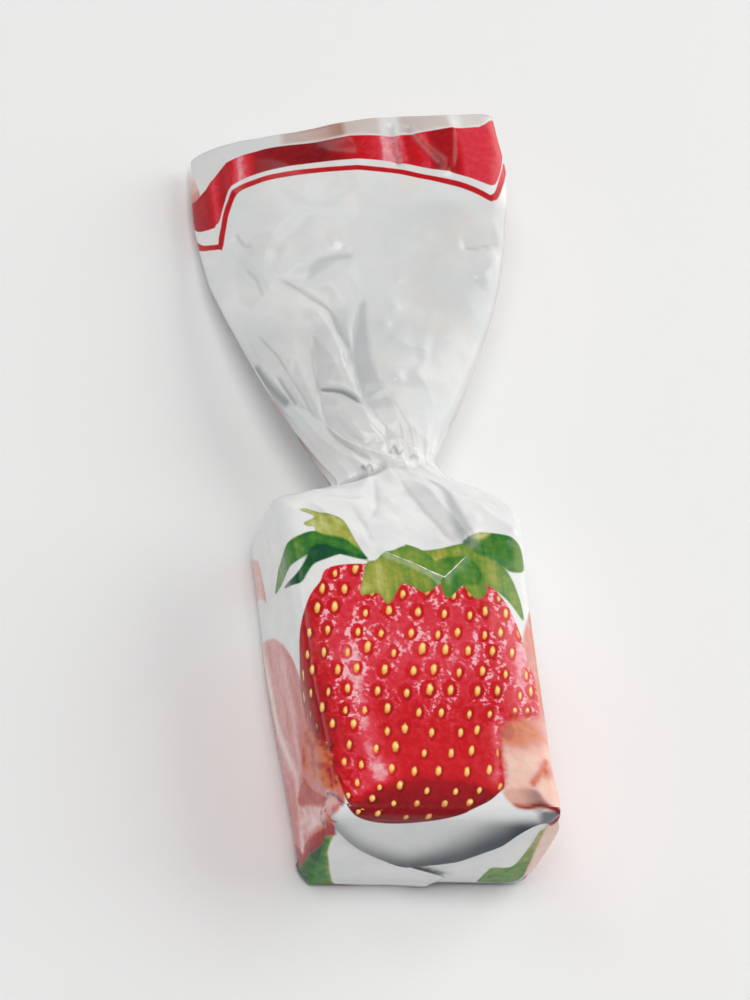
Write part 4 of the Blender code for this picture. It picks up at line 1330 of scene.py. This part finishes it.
def printed_film_material():
    """Glossy white film: colours by ink attribute, mottled a little, with a fine crinkle."""
    film = Recipe("printed_gloss_film")
    spot = film.place()
    fine = film.noise(spot, 1.6, 3.0, 0.6)
    streaks = film.noise(film.place((1.2, 0.16, 1.2)), 0.8, 3.0)
    colour = bare_film(film, spot)
    colour = fruit_over(film, colour, spot, streaks)
    colour = red_over(film, colour, spot, fine)
    colour = leaves_over(film, colour, streaks, fine)
    colour = shade_and_glint_over(film, colour, fine)
    film.feed(film.shader.inputs["Base Color"], colour)
    film.feed(film.shader.inputs["Roughness"], film.ramp(fine, 0.3, 0.7, *FILM_ROUGHNESS))
    film.shader.inputs["IOR"].default_value = FILM_IOR
    film.shader.inputs["Coat Weight"].default_value = COAT_WEIGHT
    film.shader.inputs["Coat Roughness"].default_value = COAT_ROUGHNESS
    film.bump(film.plus(film.noise(spot, 0.45, 1.0), film.times(fine, 0.05)), CRINKLE_DEPTH)
    return film.paint


film_paint = printed_film_material()
rings, places = film_tube()
ends = np.vstack([rings[0].mean(axis=0), rings[-1].mean(axis=0)])
end_places = np.vstack([places[0].mean(axis=0), places[-1].mean(axis=0)])
film_body = new_piece("printed_film", np.vstack([rings.reshape(-1, 3), ends]), tube_faces(*rings.shape[:2]))
lay_inks(film_body.data, np.vstack([places.reshape(-1, places.shape[-1]), end_places]))
film_body.data.materials.append(film_paint)
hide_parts("wrapped_sweet")
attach(film_body, "root")


# ---------------------------------------------------------------- The folds at the shut end
# The tube's end is folded like a parcel: its two sides are tucked in first, and the front is brought
# down over them as a wide V flap.  All are the same film, lying a little proud of what is below.

SHEET = 0.10
TOP_CORNER = BODY_HEIGHT - END_RADIUS
CORNER_Q = END_RADIUS * (1.0 - 0.5 * np.pi)
FLAP_START = 1.15
FLAP_EDGE = (
    (-12.3, 13.6), (-11.6, 12.7), (-11, 12), (-9.6, 10.6), (-8, 9.2), (-6.4, 8.1), (-5, 7.3), (-3.6, 6.6),
    (-2.4, 6.4), (-1.2, 6.8), (0, 7.2), (1.6, 7.6), (3, 8), (5, 9.2), (6.7, 10.3), (7.4, 11.2),
    (8.2, 12.3), (9.2, 13.2), (10.2, 13.8), (11.2, 14.1), (12.2, 14.2),
)
# The flap's painted shade above its edge over x: how strong it is, and how far up it fades.
FLAP_SHADE_STRENGTHS = (
    (-12.7, -9, -6, -3, 0, 2, 5, 8, 10.5, 12.3),
    (0.4, 0.5, 0.66, 0.88, 0.92, 0.96, 1, 1, 1, 0.9),
)
FLAP_FADE = ((-12.7, -4, 0, 4, 8, 12.3), (1.2, 2, 2.8, 4.3, 5.2, 5.2))
# The tucks' free edges, as x over z.
SIDE_RIGHT = ((0.7, 1.7, 3.6, 6.4, 14.0), (1.2, 1.8, 2.5, -2.4, -9.0))
CORNER_LEFT = ((1.2, 4.7, 8.9, 12.1, 14.0), (11.4, 11.3, 11.1, 11.0, 11.2))
CORNER_RIGHT = ((1.2, 3.0, 6.0, 9.0, 12.0, 13.0, 14.0), (11.8, 12.15, 12.45, 12.65, 12.72, 12.6, 12.2))


def end_depth(x, z):
    """How far along the folded end lies at (x, z): domed, sloping, and rounded at its upright edges."""
    half_x, half_z = 0.5 * BODY_WIDTH - END_RADIUS, 0.5 * BODY_HEIGHT - END_RADIUS
    up = np.abs(z - 0.5 * BODY_HEIGHT) / half_z
    squared = np.abs(x / half_x) ** BODY_SQUARENESS + up ** BODY_SQUARENESS
    portion = np.clip(squared ** (1.0 / BODY_SQUARENESS), 0.0, 1.0)
    turn = np.clip((np.abs(x) - half_x) / END_RADIUS, 0.0, 0.995)
    rounded = END_RADIUS * (1.0 - np.sqrt(1.0 - turn ** 2))
    return rounded - END_BULGE * (1.0 - portion ** 2) - end_slope(z) * (1.0 - turn)


def closed_sheet(outer, inner):
    """Points and faces of a thin sheet: an outer and an inner grid, joined round their border."""
    rows, columns = outer.shape[:2]
    index = np.arange(rows * columns).reshape(rows, columns)
    a, b, c, d = index[:-1, :-1], index[1:, :-1], index[1:, 1:], index[:-1, 1:]
    outer_faces = np.stack([a, b, c, d], axis=-1).reshape(-1, 4)
    inner_faces = outer_faces[:, ::-1] + rows * columns
    border = np.concatenate([index[0, :-1], index[:-1, -1], index[-1, :0:-1], index[:0:-1, 0]])
    after = np.roll(border, -1)
    rim = np.stack([border, after, after + rows * columns, border + rows * columns], axis=-1)
    faces = np.concatenate([outer_faces, inner_faces, rim])
    return np.concatenate([outer.reshape(-1, 3), inner.reshape(-1, 3)]), faces.tolist()


def flap_points(x, q, lift):
    """Film brought round the front edge: q runs from the face (+) round the corner and down the end (-)."""
    bend = np.clip((END_RADIUS - q) / END_RADIUS, 0.0, 0.5 * np.pi)
    z = TOP_CORNER + (END_RADIUS + lift) * np.cos(bend) - np.clip(CORNER_Q - q, 0.0, None)
    face_y = np.where(q > END_RADIUS, q, END_RADIUS - (END_RADIUS + lift) * np.sin(bend))
    on_end = end_depth(x, np.minimum(z, TOP_CORNER)) - lift
    share = ease(bend, 0.0, 0.5 * np.pi)
    y = np.where(q > CORNER_Q, face_y + share * (on_end + lift), on_end)
    return np.stack([x, y, z], axis=-1)


def front_flap():
    """The V flap: q from the face down to the V edge, lifting off towards it in slow waves, with painted
    shade above that edge.
    """
    x = np.linspace(FLAP_EDGE[0][0], FLAP_EDGE[-1][0], 150)[None, :]
    edge_z = np.interp(x, *smooth_line(FLAP_EDGE, 5).T)
    edge_q = CORNER_Q - np.clip(TOP_CORNER - edge_z, 0.02, None)
    share = np.linspace(0.0, 1.0, 70)[:, None]
    q = toward(FLAP_START, edge_q, share)
    x = x + 0.0 * q
    waves = 0.5 + 0.5 * np.sin(0.55 * x + 1.0)
    lift = -0.05 + 0.13 * ease(-q, -1.15, 0.8) + 0.12 * ease(-q, 0.3, 2.5)
    lift += (0.20 + 0.20 * waves) * ease(share, 0.1, 1.0) ** 2 * ease(-q, 1.0, 5.0)
    lift += 0.03 * facets(x, q, 6.0, 8.0) * ease(-q, -1.0, 1.0)
    outer, inner = flap_points(x, q, lift), flap_points(x, q, lift - SHEET)
    # Painted shade above the V edge, strongest towards the right, and a little over the whole flap.
    above_edge = outer[..., 2] - edge_z
    shade = np.interp(x, *FLAP_SHADE_STRENGTHS) * np.exp(-(above_edge / np.interp(x, *FLAP_FADE)) ** 2)
    shade = toward(shade, 1.0, 0.13 + 0.30 * shade) * ease(-q, -0.5, 1.5)
    places = np.stack([x, x, q, outer[..., 2], 0.0 * x, 0.0 * x], axis=-1)
    return outer, inner, places, shade


def tuck(x, z, depth, print_x):
    """A sheet on the end: its outer and inner grids, and its place on the film."""
    outer, inner = (np.stack([x, depth + wall, z], axis=-1) for wall in (0.0, SHEET))
    places = np.stack([print_x, print_x, 0.0 * x + ON_THE_END, z, 0.0 * x, 0.0 * x], axis=-1)
    return outer[::-1], inner[::-1], places[::-1], np.zeros(x.shape)


def side_tuck():
    """The tucked left side: a sheet on the end from its left edge to a slanting fold."""
    across = np.linspace(0.0, 1.0, 90)[None, :]
    z = np.linspace(SIDE_RIGHT[0][0], TOP_CORNER - 0.3, 60)[:, None] + 0.0 * across
    right = np.interp(z, *SIDE_RIGHT)
    x = toward(-0.5 * BODY_WIDTH, right, across)
    lift = -0.12 + 0.26 * ease(across, 0.0, 0.12) + 0.16 * ease(across, 0.75, 1.0)
    lift = lift + 0.05 * facets(x, z, 3.6, 9.0) - 0.50 * ease(z, 8.5, 12.0) * ease(across, 0.35, 0.8)
    return tuck(x, z, end_depth(x, z) - lift, x)


def corner_tuck():
    """The film folded over the end's right edge: a narrow sheet turned a little to the right."""
    across = np.linspace(0.0, 1.0, 24)[None, :]
    z = np.linspace(CORNER_LEFT[0][0], CORNER_LEFT[0][-1], 60)[:, None] + 0.0 * across
    left, right = np.interp(z, *CORNER_LEFT), np.interp(z, *CORNER_RIGHT)
    x = toward(left, right, across)
    depth = end_depth(11.0 + 0.0 * x, z) - 0.14 + 0.30 * across ** 1.5 + 0.25 * ease(-across, -0.12, 0.0)
    depth += 0.45 * ease(-z, -3.2, -1.4) + 0.35 * ease(z, 12.8, 14.0)
    return tuck(x, z, depth, 11.6 + 1.2 * across + 0.0 * z)


for name, fold in (("front_flap", front_flap), ("side_tuck", side_tuck), ("corner_tuck", corner_tuck)):
    outer, inner, places, shade = fold()
    sheet = new_piece(name, *closed_sheet(outer, inner))
    flat = places.reshape(-1, places.shape[-1])
    lay_inks(sheet.data, np.concatenate([flat, flat]), np.tile(shade.ravel(), 2))
    sheet.data.materials.append(film_paint)
    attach(sheet, "root")
